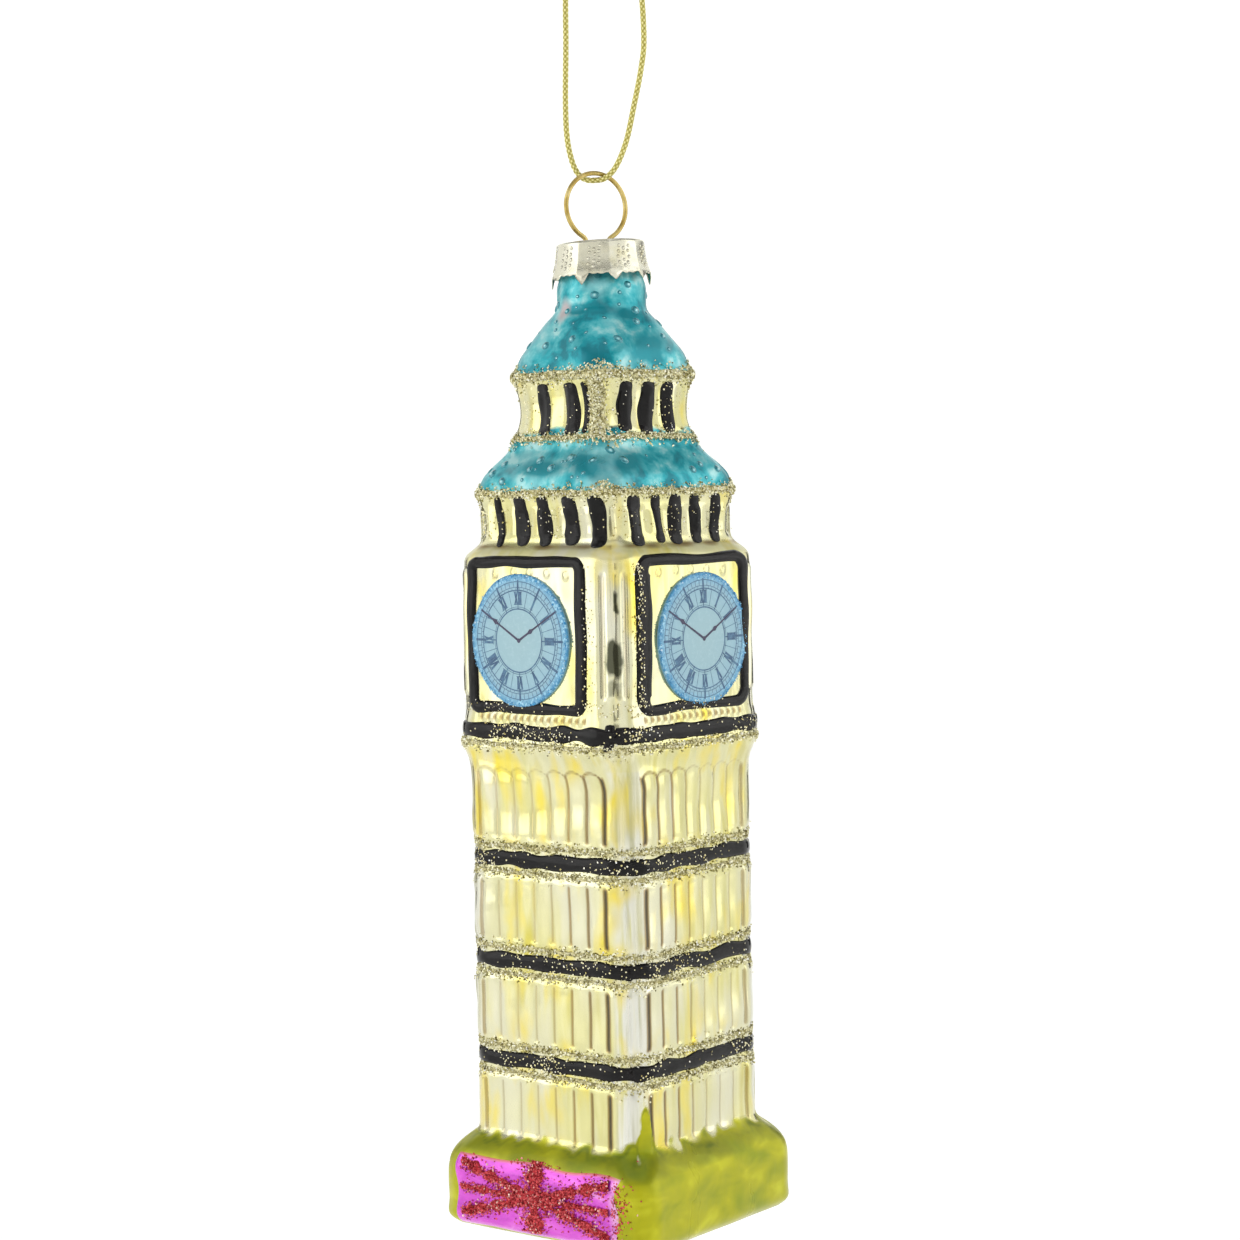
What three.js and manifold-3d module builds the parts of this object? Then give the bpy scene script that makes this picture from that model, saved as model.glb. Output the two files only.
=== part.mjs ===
// Hanging Christmas ornament: a clock tower of blown, lacquered glass on a cord loop.
// Millimetres, +Z up. The origin is the hanging point, inside the top of the cord loop
// under its knot; everything else hangs below it. The front of the tower faces -Y.

import * as THREE from 'three';
import { mergeVertices } from 'three/addons/utils/BufferGeometryUtils.js';
import Module from 'manifold-3d';

const wasm = await Module();
wasm.setup();

// ---------------------------------------------------------------- driving dimensions

// The wire hanger's ring hangs in the cord loop, and the tower hangs under the ring.
const RING_TOP = -47.6;
const RING_OUTER = 5.0;
const RING_DROP = 0.1;
const WIRE_RADIUS = 0.325;
const RING_ANGLE = THREE.MathUtils.degToRad(67);
const LEG_HALF_SPACING = 1.8;

// Heights on the tower are measured up from its underside.
const TOWER_HEIGHT = 135.9;
const CAP_TOP = TOWER_HEIGHT + 0.6;
const UNDERSIDE = RING_TOP - 2 * RING_OUTER + RING_DROP - CAP_TOP;

// Half-widths of the tower's square sections, and the heights where they start.
const BASE_HALF = 18.3;
const SHAFT_HALF = 15.15;
const BAND_HALF = 14.85;
const LIP_HALF = 16.0;
const CLOCK_HALF = 15.5;
const BELFRY_HALF = 13.5;
const EAVE_HALF = 14.2;
const WAIST_HALF = 9.3;
const NECK_RADIUS = 5.9;
const RIM_RADIUS = 5.7;
const WALL = 1.0;

const SHAFT_FOOT = 13.0;
const COVE_FOOT = 63.2;
const CLOCK_FOOT = 71.0;
const CLOCK_TOP = 92.6;
const BELFRY_FOOT = 95.4;
const EAVE = 102.2;
const LANTERN_FOOT = 108.4;
const WAIST = 113.4;
const ROOF_EDGE = 118.2;
const NECK_FOOT = 127.0;

// The storeys above the shaft stand slightly out of line with it, as they were blown. Each
// stop holds a height and the turn about the upright axis that is reached there, in degrees.
const TWIST = [[0, 0], [60, 0], [67, -4.6], [95, -4.6], [108.4, -9], [TOWER_HEIGHT, -9]];

// Raised layers on the glass: black enamel, gold glitter and the clock dials.
const LAYER_GAP = 0.1;
const LAYER_RAISE = 0.4;
const SHAFT_BANDS = { lower: 22.6, middle: 36.4, upper: 50.5 };
const ENAMEL_HEIGHT = 2.3;
const GLITTER_HEIGHT = 1.1;
const BAND_SPACE = 0.1;
const EAVE_GLITTER = { foot: 101.2, height: 1.4 };
const LANTERN_FOOT_GLITTER = { foot: 108.8, height: 1.3 };
const ROOF_EDGE_GLITTER = { foot: 117.0, height: 1.8 };
const FRAME_HALF_WIDTH = 11.5;
const FRAME_HALF_HEIGHT = 10.8;
const FRAME_STROKE = 1.6;
const FRAME_CENTRE = 82.6;
const DIAL_RADIUS = 8.95;
const DIAL_CENTRE = 82.45;
const DIAL_RAISE = 0.5;

// The flag motif on the front of the base.
const FLAG = { width: 26.0, height: 7.2, foot: 2.2, upright: 3.6, bar: 1.6, saltire: 1.2 };

// The pressed metal cap over the neck.
const CAP = { top: 6.2, waist: 6.45, skirt: 7.05, foot: 4.6, thickness: 0.3, teeth: 9, tooth: 0.7 };
const WIRE_HOLE_RADIUS = 0.6;

// The cord, its knot and the direction in which its two strands lie apart.
const CORD_RADIUS = 0.4;
const CORD_ANGLE = THREE.MathUtils.degToRad(20);
const CORD_STEPS = 60;
const KNOT = { radius: 1.5, centre: 3.1, height: 3.6, tail: 6.0 };

// Route of the cord in millimetres: across the loop, out of its plane, up. It leaves the
// knot, goes down the left strand, under the top of the ring and up the right strand.
const CORD_ROUTE = [
  [-0.55, 0.0, 1.0],
  [-1.1, 0.1, -2.0],
  [-2.4, 0.3, -7.5],
  [-3.6, 0.4, -14.5],
  [-4.3, 0.3, -22.0],
  [-4.4, 0.1, -30.0],
  [-4.6, 0.0, -37.5],
  [-4.5, 0.0, -42.5],
  [-3.9, 0.0, -45.8],
  [-2.8, 0.0, -47.8],
  [-1.4, 0.0, -48.7],
  [0.0, 0.0, -48.85],
  [1.4, 0.0, -48.3],
  [2.8, 0.0, -46.9],
  [4.2, -0.1, -43.7],
  [5.5, -0.2, -38.7],
  [6.6, -0.3, -34.0],
  [7.1, -0.3, -30.0],
  [6.8, -0.3, -23.0],
  [5.6, -0.2, -15.0],
  [3.6, -0.1, -8.0],
  [1.6, 0.0, -2.5],
  [0.55, 0.0, 1.0],
];

// Lathe pieces turn in 24 steps, set so that four of the facets face the four sides.
const TURN_STEPS = 24;
const CAP_STEPS = CAP.teeth * 4;
const CURVE_STEPS = 4;

const SIDES = ['front', 'right', 'back', 'left'];

// ---------------------------------------------------------------- materials

function finish(color, roughness, metalness) {
  return new THREE.MeshStandardMaterial({ color, roughness, metalness });
}

const LOOKS = {
  glass: () => finish(0xcfc67a, 0.12, 0.85),
  enamel: () => finish(0x2b2629, 0.18, 0.0),
  glitter: () => finish(0xc2a75e, 0.55, 0.6),
  redGlitter: () => finish(0xb0303a, 0.5, 0.4),
  dial: () => finish(0x9cc9dc, 0.35, 0.1),
  cap: () => finish(0xdcd9c4, 0.28, 0.9),
  wire: () => finish(0xb8a050, 0.25, 0.95),
  cord: () => finish(0xbdb356, 0.45, 0.5),
};

// ---------------------------------------------------------------- solids

function toSolid(geometry) {
  const merged = geometry.clone();
  merged.deleteAttribute('normal');
  merged.deleteAttribute('uv');
  const closed = mergeVertices(merged, 1e-4);
  return new wasm.Manifold(new wasm.Mesh({
    numProp: 3,
    vertProperties: new Float32Array(closed.attributes.position.array),
    triVerts: new Uint32Array(closed.index.array),
  }));
}

function fromSolid(solid) {
  const mesh = solid.getMesh();
  const geometry = new THREE.BufferGeometry();
  geometry.setAttribute('position', new THREE.BufferAttribute(mesh.vertProperties, 3));
  geometry.setIndex(new THREE.BufferAttribute(mesh.triVerts, 1));
  geometry.computeVertexNormals();
  return geometry;
}

// A turned solid, standing along +Z. Profile points hold the radius and the height.
function turned(profile, steps) {
  const start = Math.PI / steps;
  return new THREE.LatheGeometry(profile, steps, start).rotateX(Math.PI / 2);
}

// A tube with round ends cut square, along a curve.
function tube(curve, radius, steps, sides = 8) {
  const section = new THREE.Shape();
  for (let i = 0; i < sides; i += 1) {
    const angle = (2 * Math.PI * i) / sides;
    const point = [radius * Math.cos(angle), radius * Math.sin(angle)];
    if (i === 0) section.moveTo(...point);
    else section.lineTo(...point);
  }
  return new THREE.ExtrudeGeometry(section, { steps, extrudePath: curve });
}

// ---------------------------------------------------------------- tower

// Outside of the tower from the middle of its underside up to the rim of its neck.
function towerOutline() {
  const path = new THREE.Path();
  path.moveTo(0, 0);
  path.lineTo(BASE_HALF - 2.4, 0);
  path.quadraticCurveTo(BASE_HALF, 0, BASE_HALF, 2.4);
  path.lineTo(BASE_HALF, 8.2);
  path.bezierCurveTo(BASE_HALF, 10.0, BASE_HALF - 1.0, 11.4, SHAFT_HALF, SHAFT_FOOT);
  for (const foot of Object.values(SHAFT_BANDS)) {
    const low = foot - GLITTER_HEIGHT - 2 * BAND_SPACE;
    const high = foot + ENAMEL_HEIGHT + GLITTER_HEIGHT + 2 * BAND_SPACE;
    path.lineTo(SHAFT_HALF, low - 0.3);
    path.lineTo(BAND_HALF, low);
    path.lineTo(BAND_HALF, high);
    path.lineTo(SHAFT_HALF, high + 0.3);
  }
  path.lineTo(SHAFT_HALF, COVE_FOOT);
  path.quadraticCurveTo(SHAFT_HALF + 0.1, COVE_FOOT + 2.4, LIP_HALF - 0.1, COVE_FOOT + 3.4);
  path.lineTo(LIP_HALF, COVE_FOOT + 4.5);
  path.lineTo(LIP_HALF - 0.3, COVE_FOOT + 5.0);
  path.lineTo(LIP_HALF - 0.3, CLOCK_FOOT);
  path.lineTo(CLOCK_HALF, CLOCK_FOOT + 0.5);
  path.lineTo(CLOCK_HALF, CLOCK_TOP);
  path.quadraticCurveTo(CLOCK_HALF, CLOCK_TOP + 1.2, BELFRY_HALF + 0.5, CLOCK_TOP + 1.9);
  path.lineTo(BELFRY_HALF, BELFRY_FOOT);
  path.lineTo(BELFRY_HALF, EAVE - 2.8);
  path.quadraticCurveTo(BELFRY_HALF, EAVE - 1.2, EAVE_HALF, EAVE - 0.4);
  path.lineTo(EAVE_HALF, EAVE + 0.4);
  path.bezierCurveTo(EAVE_HALF - 0.3, EAVE + 2.4, 11.4, EAVE + 4.6, 10.7, EAVE + 5.6);
  path.lineTo(10.4, LANTERN_FOOT + 0.4);
  path.quadraticCurveTo(WAIST_HALF, LANTERN_FOOT + 2.4, WAIST_HALF, WAIST);
  path.quadraticCurveTo(WAIST_HALF, WAIST + 2.6, 10.2, ROOF_EDGE - 0.4);
  path.lineTo(10.2, ROOF_EDGE + 0.2);
  path.lineTo(NECK_RADIUS + 0.1, NECK_FOOT - 0.3);
  path.lineTo(NECK_RADIUS, NECK_FOOT + 0.3);
  path.lineTo(NECK_RADIUS, CAP_TOP - CAP.foot - 0.8);
  path.lineTo(RIM_RADIUS, CAP_TOP - CAP.foot);
  path.lineTo(RIM_RADIUS, TOWER_HEIGHT);
  return path.getPoints(CURVE_STEPS);
}

// Inside of the glass, from the rim down to the middle of the floor.
function hollowOutline() {
  const bore = RIM_RADIUS - WALL;
  const path = new THREE.Path();
  path.moveTo(bore, TOWER_HEIGHT);
  path.lineTo(bore, NECK_FOOT - 0.6);
  path.lineTo(10.2 - 1.3, ROOF_EDGE + 0.2);
  path.quadraticCurveTo(WAIST_HALF - WALL, WAIST + 2.6, WAIST_HALF - WALL, WAIST);
  path.quadraticCurveTo(WAIST_HALF - WALL, LANTERN_FOOT + 2.4, 10.4 - WALL, LANTERN_FOOT);
  path.lineTo(EAVE_HALF - 1.6, EAVE);
  path.lineTo(BELFRY_HALF - WALL, EAVE - 2.8);
  path.lineTo(BELFRY_HALF - WALL, BELFRY_FOOT);
  path.lineTo(CLOCK_HALF - WALL - 0.3, CLOCK_TOP);
  path.lineTo(CLOCK_HALF - WALL, CLOCK_TOP - 1.5);
  path.lineTo(CLOCK_HALF - WALL, COVE_FOOT + 5.0);
  path.lineTo(BAND_HALF - WALL, COVE_FOOT);
  path.lineTo(BAND_HALF - WALL, SHAFT_FOOT);
  path.lineTo(BASE_HALF - WALL, 8.2);
  path.lineTo(BASE_HALF - WALL, 2.6);
  path.lineTo(BASE_HALF - WALL - 1.4, 1.2);
  path.lineTo(0, 1.2);
  return path.getPoints(CURVE_STEPS);
}

// Corner radius of the square sections. It grows until the neck is round.
function cornerRadius(height) {
  const stops = [[0, 1.8], [2.4, 4.2], [8.2, 4.2], [SHAFT_FOOT, 4.4], [CLOCK_FOOT, 4.6],
    [CLOCK_TOP, 4.6], [BELFRY_FOOT, 4.2], [ROOF_EDGE, 4.2], [NECK_FOOT - 0.3, 5.9]];
  if (height >= NECK_FOOT - 0.3) return Infinity;
  const next = Math.max(1, stops.findIndex(([stop]) => stop > height));
  const [[low, from], [high, to]] = [stops[next - 1], stops[next]];
  return THREE.MathUtils.mapLinear(height, low, high, from, to);
}

// Turn of the tower about its upright axis at a height, in radians.
function twistAt(height) {
  const next = Math.max(1, TWIST.findIndex(([stop]) => stop >= height));
  const [[low, from], [high, to]] = [TWIST[next - 1], TWIST[next]];
  return THREE.MathUtils.degToRad(THREE.MathUtils.mapLinear(height, low, high, from, to));
}

// Turns round sections into squares with rounded corners, twisted with the tower. A point
// that is `inset` inside the tower's outside has a corner radius smaller by that much.
function squareUp(geometry, profile, insets) {
  const position = geometry.attributes.position;
  for (let i = 0; i < position.count; i += 1) {
    const row = i % profile.length;
    const half = profile[row].x;
    const corner = Math.min(half, cornerRadius(profile[row].y) - insets[row]);
    const point = new THREE.Vector2(position.getX(i), position.getY(i));
    if (half > 0) {
      const square = half - corner;
      const scale = corner / half;
      point.set(
        Math.sign(point.x) * square + point.x * scale,
        Math.sign(point.y) * square + point.y * scale,
      );
      point.rotateAround(AXIS, twistAt(profile[row].y));
      position.setXY(i, point.x, point.y);
    }
  }
  geometry.computeVertexNormals();
  return geometry;
}

const AXIS = new THREE.Vector2(0, 0);
const OUTSIDE = towerOutline();

function glassBody() {
  const inside = hollowOutline();
  const profile = [...OUTSIDE, ...inside];
  const insets = [...OUTSIDE.map(() => 0), ...inside.map(() => WALL)];
  return squareUp(turned(profile, TURN_STEPS), profile, insets);
}

// Half-width of the tower's outside at a height.
function halfAt(height) {
  const next = OUTSIDE.findIndex((point, i) => i > 1 && point.y >= height);
  const [low, high] = [OUTSIDE[next - 1], OUTSIDE[next]];
  return THREE.MathUtils.mapLinear(height, low.y, high.y, low.x, high.x);
}

// A raised layer that runs right round the tower and follows its outside.
function band(foot, height) {
  const top = foot + height;
  const rows = [foot, ...OUTSIDE.map((p) => p.y).filter((y) => y > foot && y < top), top];
  const soften = (y) => THREE.MathUtils.clamp(y, foot + 0.15, top - 0.15);
  const inner = rows.map((y) => new THREE.Vector2(halfAt(y) + LAYER_GAP, y));
  const outer = rows.map((y) => new THREE.Vector2(halfAt(y) + LAYER_GAP + LAYER_RAISE, soften(y)));
  const profile = [...outer, ...inner.reverse(), outer[0]];
  const insets = profile.map((p) => halfAt(p.y) - p.x);
  return squareUp(turned(profile, TURN_STEPS), profile, insets);
}

// ---------------------------------------------------------------- pieces on the four sides

function roundedRectangle(shape, halfWidth, halfHeight, radius) {
  const x = halfWidth - radius;
  const y = halfHeight - radius;
  shape.moveTo(-x, -halfHeight);
  shape.absarc(x, -y, radius, -Math.PI / 2, 0);
  shape.absarc(x, y, radius, 0, Math.PI / 2);
  shape.absarc(-x, y, radius, Math.PI / 2, Math.PI);
  shape.absarc(-x, -y, radius, Math.PI, 1.5 * Math.PI);
  return shape;
}

function clockFrame() {
  const shape = roundedRectangle(new THREE.Shape(), FRAME_HALF_WIDTH, FRAME_HALF_HEIGHT, 2.4);
  const [width, height] = [FRAME_HALF_WIDTH - FRAME_STROKE, FRAME_HALF_HEIGHT - FRAME_STROKE];
  shape.holes.push(roundedRectangle(new THREE.Path(), width, height, 1.2));
  const options = { depth: LAYER_RAISE, bevelEnabled: false, curveSegments: 5 };
  return new THREE.ExtrudeGeometry(shape, options).rotateX(Math.PI / 2);
}

function dial() {
  return new THREE.CylinderGeometry(DIAL_RADIUS - 0.1, DIAL_RADIUS, DIAL_RAISE, 40)
    .rotateX(Math.PI)
    .translate(0, -DIAL_RAISE / 2, 0);
}

// An upright bar, a level bar and a saltire joined into one flat motif.
function flagMotif() {
  const { width, height, upright, bar, saltire } = FLAG;
  const field = toSolid(new THREE.BoxGeometry(width, LAYER_RAISE, height));
  const slope = Math.atan2(height, width);
  let motif = toSolid(new THREE.BoxGeometry(upright, LAYER_RAISE, height));
  motif = motif.add(toSolid(new THREE.BoxGeometry(width, LAYER_RAISE, bar)));
  for (const turn of [slope, -slope]) {
    const stripe = new THREE.BoxGeometry(width * 1.1, LAYER_RAISE, saltire).rotateY(turn);
    motif = motif.add(toSolid(stripe));
  }
  return fromSolid(motif.intersect(field)).translate(0, -LAYER_RAISE / 2, height / 2);
}

// ---------------------------------------------------------------- cap and wire

// A flat top and a flared skirt whose lower edge is cut into pointed teeth, with two
// holes for the wire. Heights here are measured up from the cap's top.
function metalCap() {
  const { top, waist, skirt, foot, thickness } = CAP;
  const outer = [[0, 0], [top - 0.6, 0], [top, -0.5], [waist, -2.6], [skirt, -foot]];
  const inner = [[skirt - thickness, -foot], [waist - thickness, -2.6],
    [top - thickness, -0.9], [top - 0.6, -thickness], [0, -thickness]];
  const profile = [...outer, ...inner].map(([x, y]) => new THREE.Vector2(x, y)).reverse();
  const geometry = turned(profile, CAP_STEPS);
  const position = geometry.attributes.position;
  for (let i = 0; i < position.count; i += 1) {
    if (position.getZ(i) < -foot + 0.01) {
      const step = Math.floor(i / profile.length) % 4;
      const drop = [1, 0.3, 0, 0.3][step] * CAP.tooth;
      position.setZ(i, -foot - drop);
    }
  }
  let cap = toSolid(geometry);
  for (const side of [-1, 1]) {
    const hole = new THREE.CylinderGeometry(WIRE_HOLE_RADIUS, WIRE_HOLE_RADIUS, 2, 12)
      .rotateX(Math.PI / 2)
      .translate(side * LEG_HALF_SPACING, 0, 0);
    cap = cap.subtract(toSolid(hole));
  }
  return fromSolid(cap);
}

// A ring whose ends turn down through the cap as two springy legs that spread inside the
// neck. It is bent in the XZ plane, with heights measured up from the cap's top.
function wireHanger() {
  const radius = RING_OUTER - WIRE_RADIUS;
  const centre = RING_OUTER - RING_DROP;
  const leg = [[4.05, -16.2], [4.2, -14.2], [3.9, -11.0], [3.1, -8.0], [2.2, -5.8],
    [LEG_HALF_SPACING, -4.4], [LEG_HALF_SPACING, -2.0], [LEG_HALF_SPACING, -0.2],
    [LEG_HALF_SPACING + 0.15, 0.55]];
  const points = leg.map(([x, z]) => new THREE.Vector3(-x, 0, z));
  const opening = THREE.MathUtils.degToRad(38);
  const arcSteps = 14;
  for (let i = 0; i <= arcSteps; i += 1) {
    const angle = -Math.PI / 2 - opening - (i / arcSteps) * 2 * (Math.PI - opening);
    points.push(new THREE.Vector3(radius * Math.cos(angle), 0, centre + radius * Math.sin(angle)));
  }
  points.push(...leg.reverse().map(([x, z]) => new THREE.Vector3(x, 0, z)));
  return tube(new THREE.CatmullRomCurve3(points), WIRE_RADIUS, 76);
}

// ---------------------------------------------------------------- cord

function onCordPlane([across, out, up]) {
  return new THREE.Vector3(across, out, up).applyAxisAngle(new THREE.Vector3(0, 0, 1), CORD_ANGLE);
}

function cordLoop() {
  const curve = new THREE.CatmullRomCurve3(CORD_ROUTE.map(onCordPlane));
  return tube(curve, CORD_RADIUS, CORD_STEPS);
}

// A round knot with the cord's two short ends standing out of its top.
function cordKnot() {
  const { radius, centre, height, tail } = KNOT;
  const ball = new THREE.SphereGeometry(radius, 16, 10)
    .rotateX(Math.PI / 2)
    .scale(1, 1, height / (2 * radius))
    .translate(0, 0, centre);
  let knot = toSolid(ball);
  for (const side of [-1, 1]) {
    const route = [[0.3, 0, centre], [0.6, 0.1, centre + 2.2], [1.5, 0.2, centre + 4.2],
      [2.7, 0.1, centre + tail]];
    const points = route.map(([across, out, up]) => onCordPlane([side * across, side * out, up]));
    knot = knot.add(toSolid(tube(new THREE.CatmullRomCurve3(points), CORD_RADIUS, 8)));
  }
  return fromSolid(knot);
}

// ---------------------------------------------------------------- assembly

const ornament = new THREE.Group();

function addPiece(parent, name, geometry, material) {
  const mesh = new THREE.Mesh(geometry, material);
  mesh.name = name;
  parent.add(mesh);
  return mesh;
}

const tower = new THREE.Group();
tower.position.z = UNDERSIDE;
ornament.add(tower);
addPiece(tower, 'glass_body', glassBody(), LOOKS.glass());

SIDES.forEach((side, i) => {
  const face = new THREE.Group();
  face.rotation.z = (i * Math.PI) / 2 + twistAt(FRAME_CENTRE);
  tower.add(face);
  const frame = addPiece(face, `clock_frame_${side}`, clockFrame(), LOOKS.enamel());
  frame.position.set(0, -CLOCK_HALF - LAYER_GAP, FRAME_CENTRE);
  const clock = addPiece(face, `dial_${side}`, dial(), LOOKS.dial());
  clock.position.set(0, -CLOCK_HALF - LAYER_GAP, DIAL_CENTRE);
});

const clockBand = COVE_FOOT + 5.0;
addPiece(tower, 'enamel_band_clock', band(clockBand, ENAMEL_HEIGHT), LOOKS.enamel());
const belowClock = clockBand - GLITTER_HEIGHT - BAND_SPACE;
addPiece(tower, 'glitter_clock_foot', band(belowClock, GLITTER_HEIGHT), LOOKS.glitter());
for (const [name, foot] of Object.entries(SHAFT_BANDS)) {
  const below = foot - GLITTER_HEIGHT - BAND_SPACE;
  const above = foot + ENAMEL_HEIGHT + BAND_SPACE;
  addPiece(tower, `enamel_band_${name}`, band(foot, ENAMEL_HEIGHT), LOOKS.enamel());
  addPiece(tower, `glitter_${name}_foot`, band(below, GLITTER_HEIGHT), LOOKS.glitter());
  addPiece(tower, `glitter_${name}_top`, band(above, GLITTER_HEIGHT), LOOKS.glitter());
}
const roofLines = {
  glitter_eave: EAVE_GLITTER,
  glitter_lantern_foot: LANTERN_FOOT_GLITTER,
  glitter_lantern_top: ROOF_EDGE_GLITTER,
};
for (const [name, { foot, height }] of Object.entries(roofLines)) {
  addPiece(tower, name, band(foot, height), LOOKS.glitter());
}

const flag = addPiece(tower, 'flag_glitter', flagMotif(), LOOKS.redGlitter());
flag.position.set(0, -BASE_HALF - LAYER_GAP, FLAG.foot);

const cap = addPiece(tower, 'metal_cap', metalCap(), LOOKS.cap());
cap.position.z = CAP_TOP;
cap.rotation.z = RING_ANGLE;
const hanger = addPiece(tower, 'wire_hanger', wireHanger(), LOOKS.wire());
hanger.position.z = CAP_TOP;
hanger.rotation.z = RING_ANGLE;

addPiece(ornament, 'cord_loop', cordLoop(), LOOKS.cord());
addPiece(ornament, 'cord_knot', cordKnot(), LOOKS.cord());

export default ornament;
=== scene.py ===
"""Looks of a hanging clock-tower Christmas ornament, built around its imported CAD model.

A place on the tower is given as a side, a distance s along that side from its middle, a height
above the underside and a lift out of the glass, all in millimetres. Blender works in metres.
"""

import math

import bpy
import numpy as np
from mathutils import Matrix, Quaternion, Vector
from mathutils.bvhtree import BVHTree


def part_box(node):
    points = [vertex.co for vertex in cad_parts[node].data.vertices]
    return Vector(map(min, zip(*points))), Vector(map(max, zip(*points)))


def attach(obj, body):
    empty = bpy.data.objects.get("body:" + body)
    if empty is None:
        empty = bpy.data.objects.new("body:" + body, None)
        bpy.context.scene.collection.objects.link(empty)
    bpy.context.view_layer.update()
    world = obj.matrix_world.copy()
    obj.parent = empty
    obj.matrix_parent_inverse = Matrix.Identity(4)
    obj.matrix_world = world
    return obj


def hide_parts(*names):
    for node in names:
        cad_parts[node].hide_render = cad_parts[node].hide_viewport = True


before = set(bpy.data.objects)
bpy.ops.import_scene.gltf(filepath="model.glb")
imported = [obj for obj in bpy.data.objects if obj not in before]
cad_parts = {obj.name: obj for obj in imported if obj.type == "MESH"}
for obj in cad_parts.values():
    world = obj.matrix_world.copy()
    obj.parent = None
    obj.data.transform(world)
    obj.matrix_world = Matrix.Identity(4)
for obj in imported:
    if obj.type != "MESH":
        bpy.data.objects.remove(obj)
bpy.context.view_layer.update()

MM = 0.001
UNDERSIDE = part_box("glass_body")[0].z
SIDES = ("front", "right", "back", "left")
random = np.random.default_rng(24)


def levels(node):
    """Lowest and highest height of a CAD node above the tower's underside, in millimetres."""
    low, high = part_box(node)
    return (low.z - UNDERSIDE) / MM, (high.z - UNDERSIDE) / MM


# ---------------------------------------------------------------- camera

VIEW_AZIMUTH = 38.0
VIEW_ELEVATION = 2.9
VIEW_ROLL = 1.2
VIEW_DISTANCE = 0.385
VIEW_HEIGHT = 83.9
VIEW_ASIDE = 1.7
LENS = 79.8


def compass(azimuth, elevation=0.0):
    """Unit vector towards an azimuth and elevation in degrees; azimuth 0 is in front."""
    a, e = math.radians(azimuth), math.radians(elevation)
    return Vector((math.sin(a) * math.cos(e), -math.cos(a) * math.cos(e), math.sin(e)))


def add_object(name, data):
    thing = bpy.data.objects.new(name, data)
    bpy.context.collection.objects.link(thing)
    return thing


def make_camera():
    back = compass(VIEW_AZIMUTH, VIEW_ELEVATION)
    aside = compass(VIEW_AZIMUTH + 90) * VIEW_ASIDE * MM
    data = bpy.data.cameras.new("camera")
    data.sensor_width = 36.0
    data.lens = LENS
    data.clip_start = 0.01
    data.clip_end = 50.0
    camera = add_object("camera", data)
    camera.location = Vector((0, 0, UNDERSIDE + VIEW_HEIGHT * MM)) + aside + back * VIEW_DISTANCE
    camera.rotation_mode = "QUATERNION"
    roll = Quaternion((0, 0, 1), -math.radians(VIEW_ROLL))
    camera.rotation_quaternion = (-back).to_track_quat("-Z", "Y") @ roll
    bpy.context.scene.camera = camera


make_camera()


# ---------------------------------------------------------------- node trees

def colour(code):
    """Linear colour from a six-digit sRGB code."""
    channels = [int(code[i:i + 2], 16) / 255 for i in (0, 2, 4)]
    return [c / 12.92 if c <= 0.04045 else ((c + 0.055) / 1.055) ** 2.4 for c in channels] + [1.0]


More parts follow.
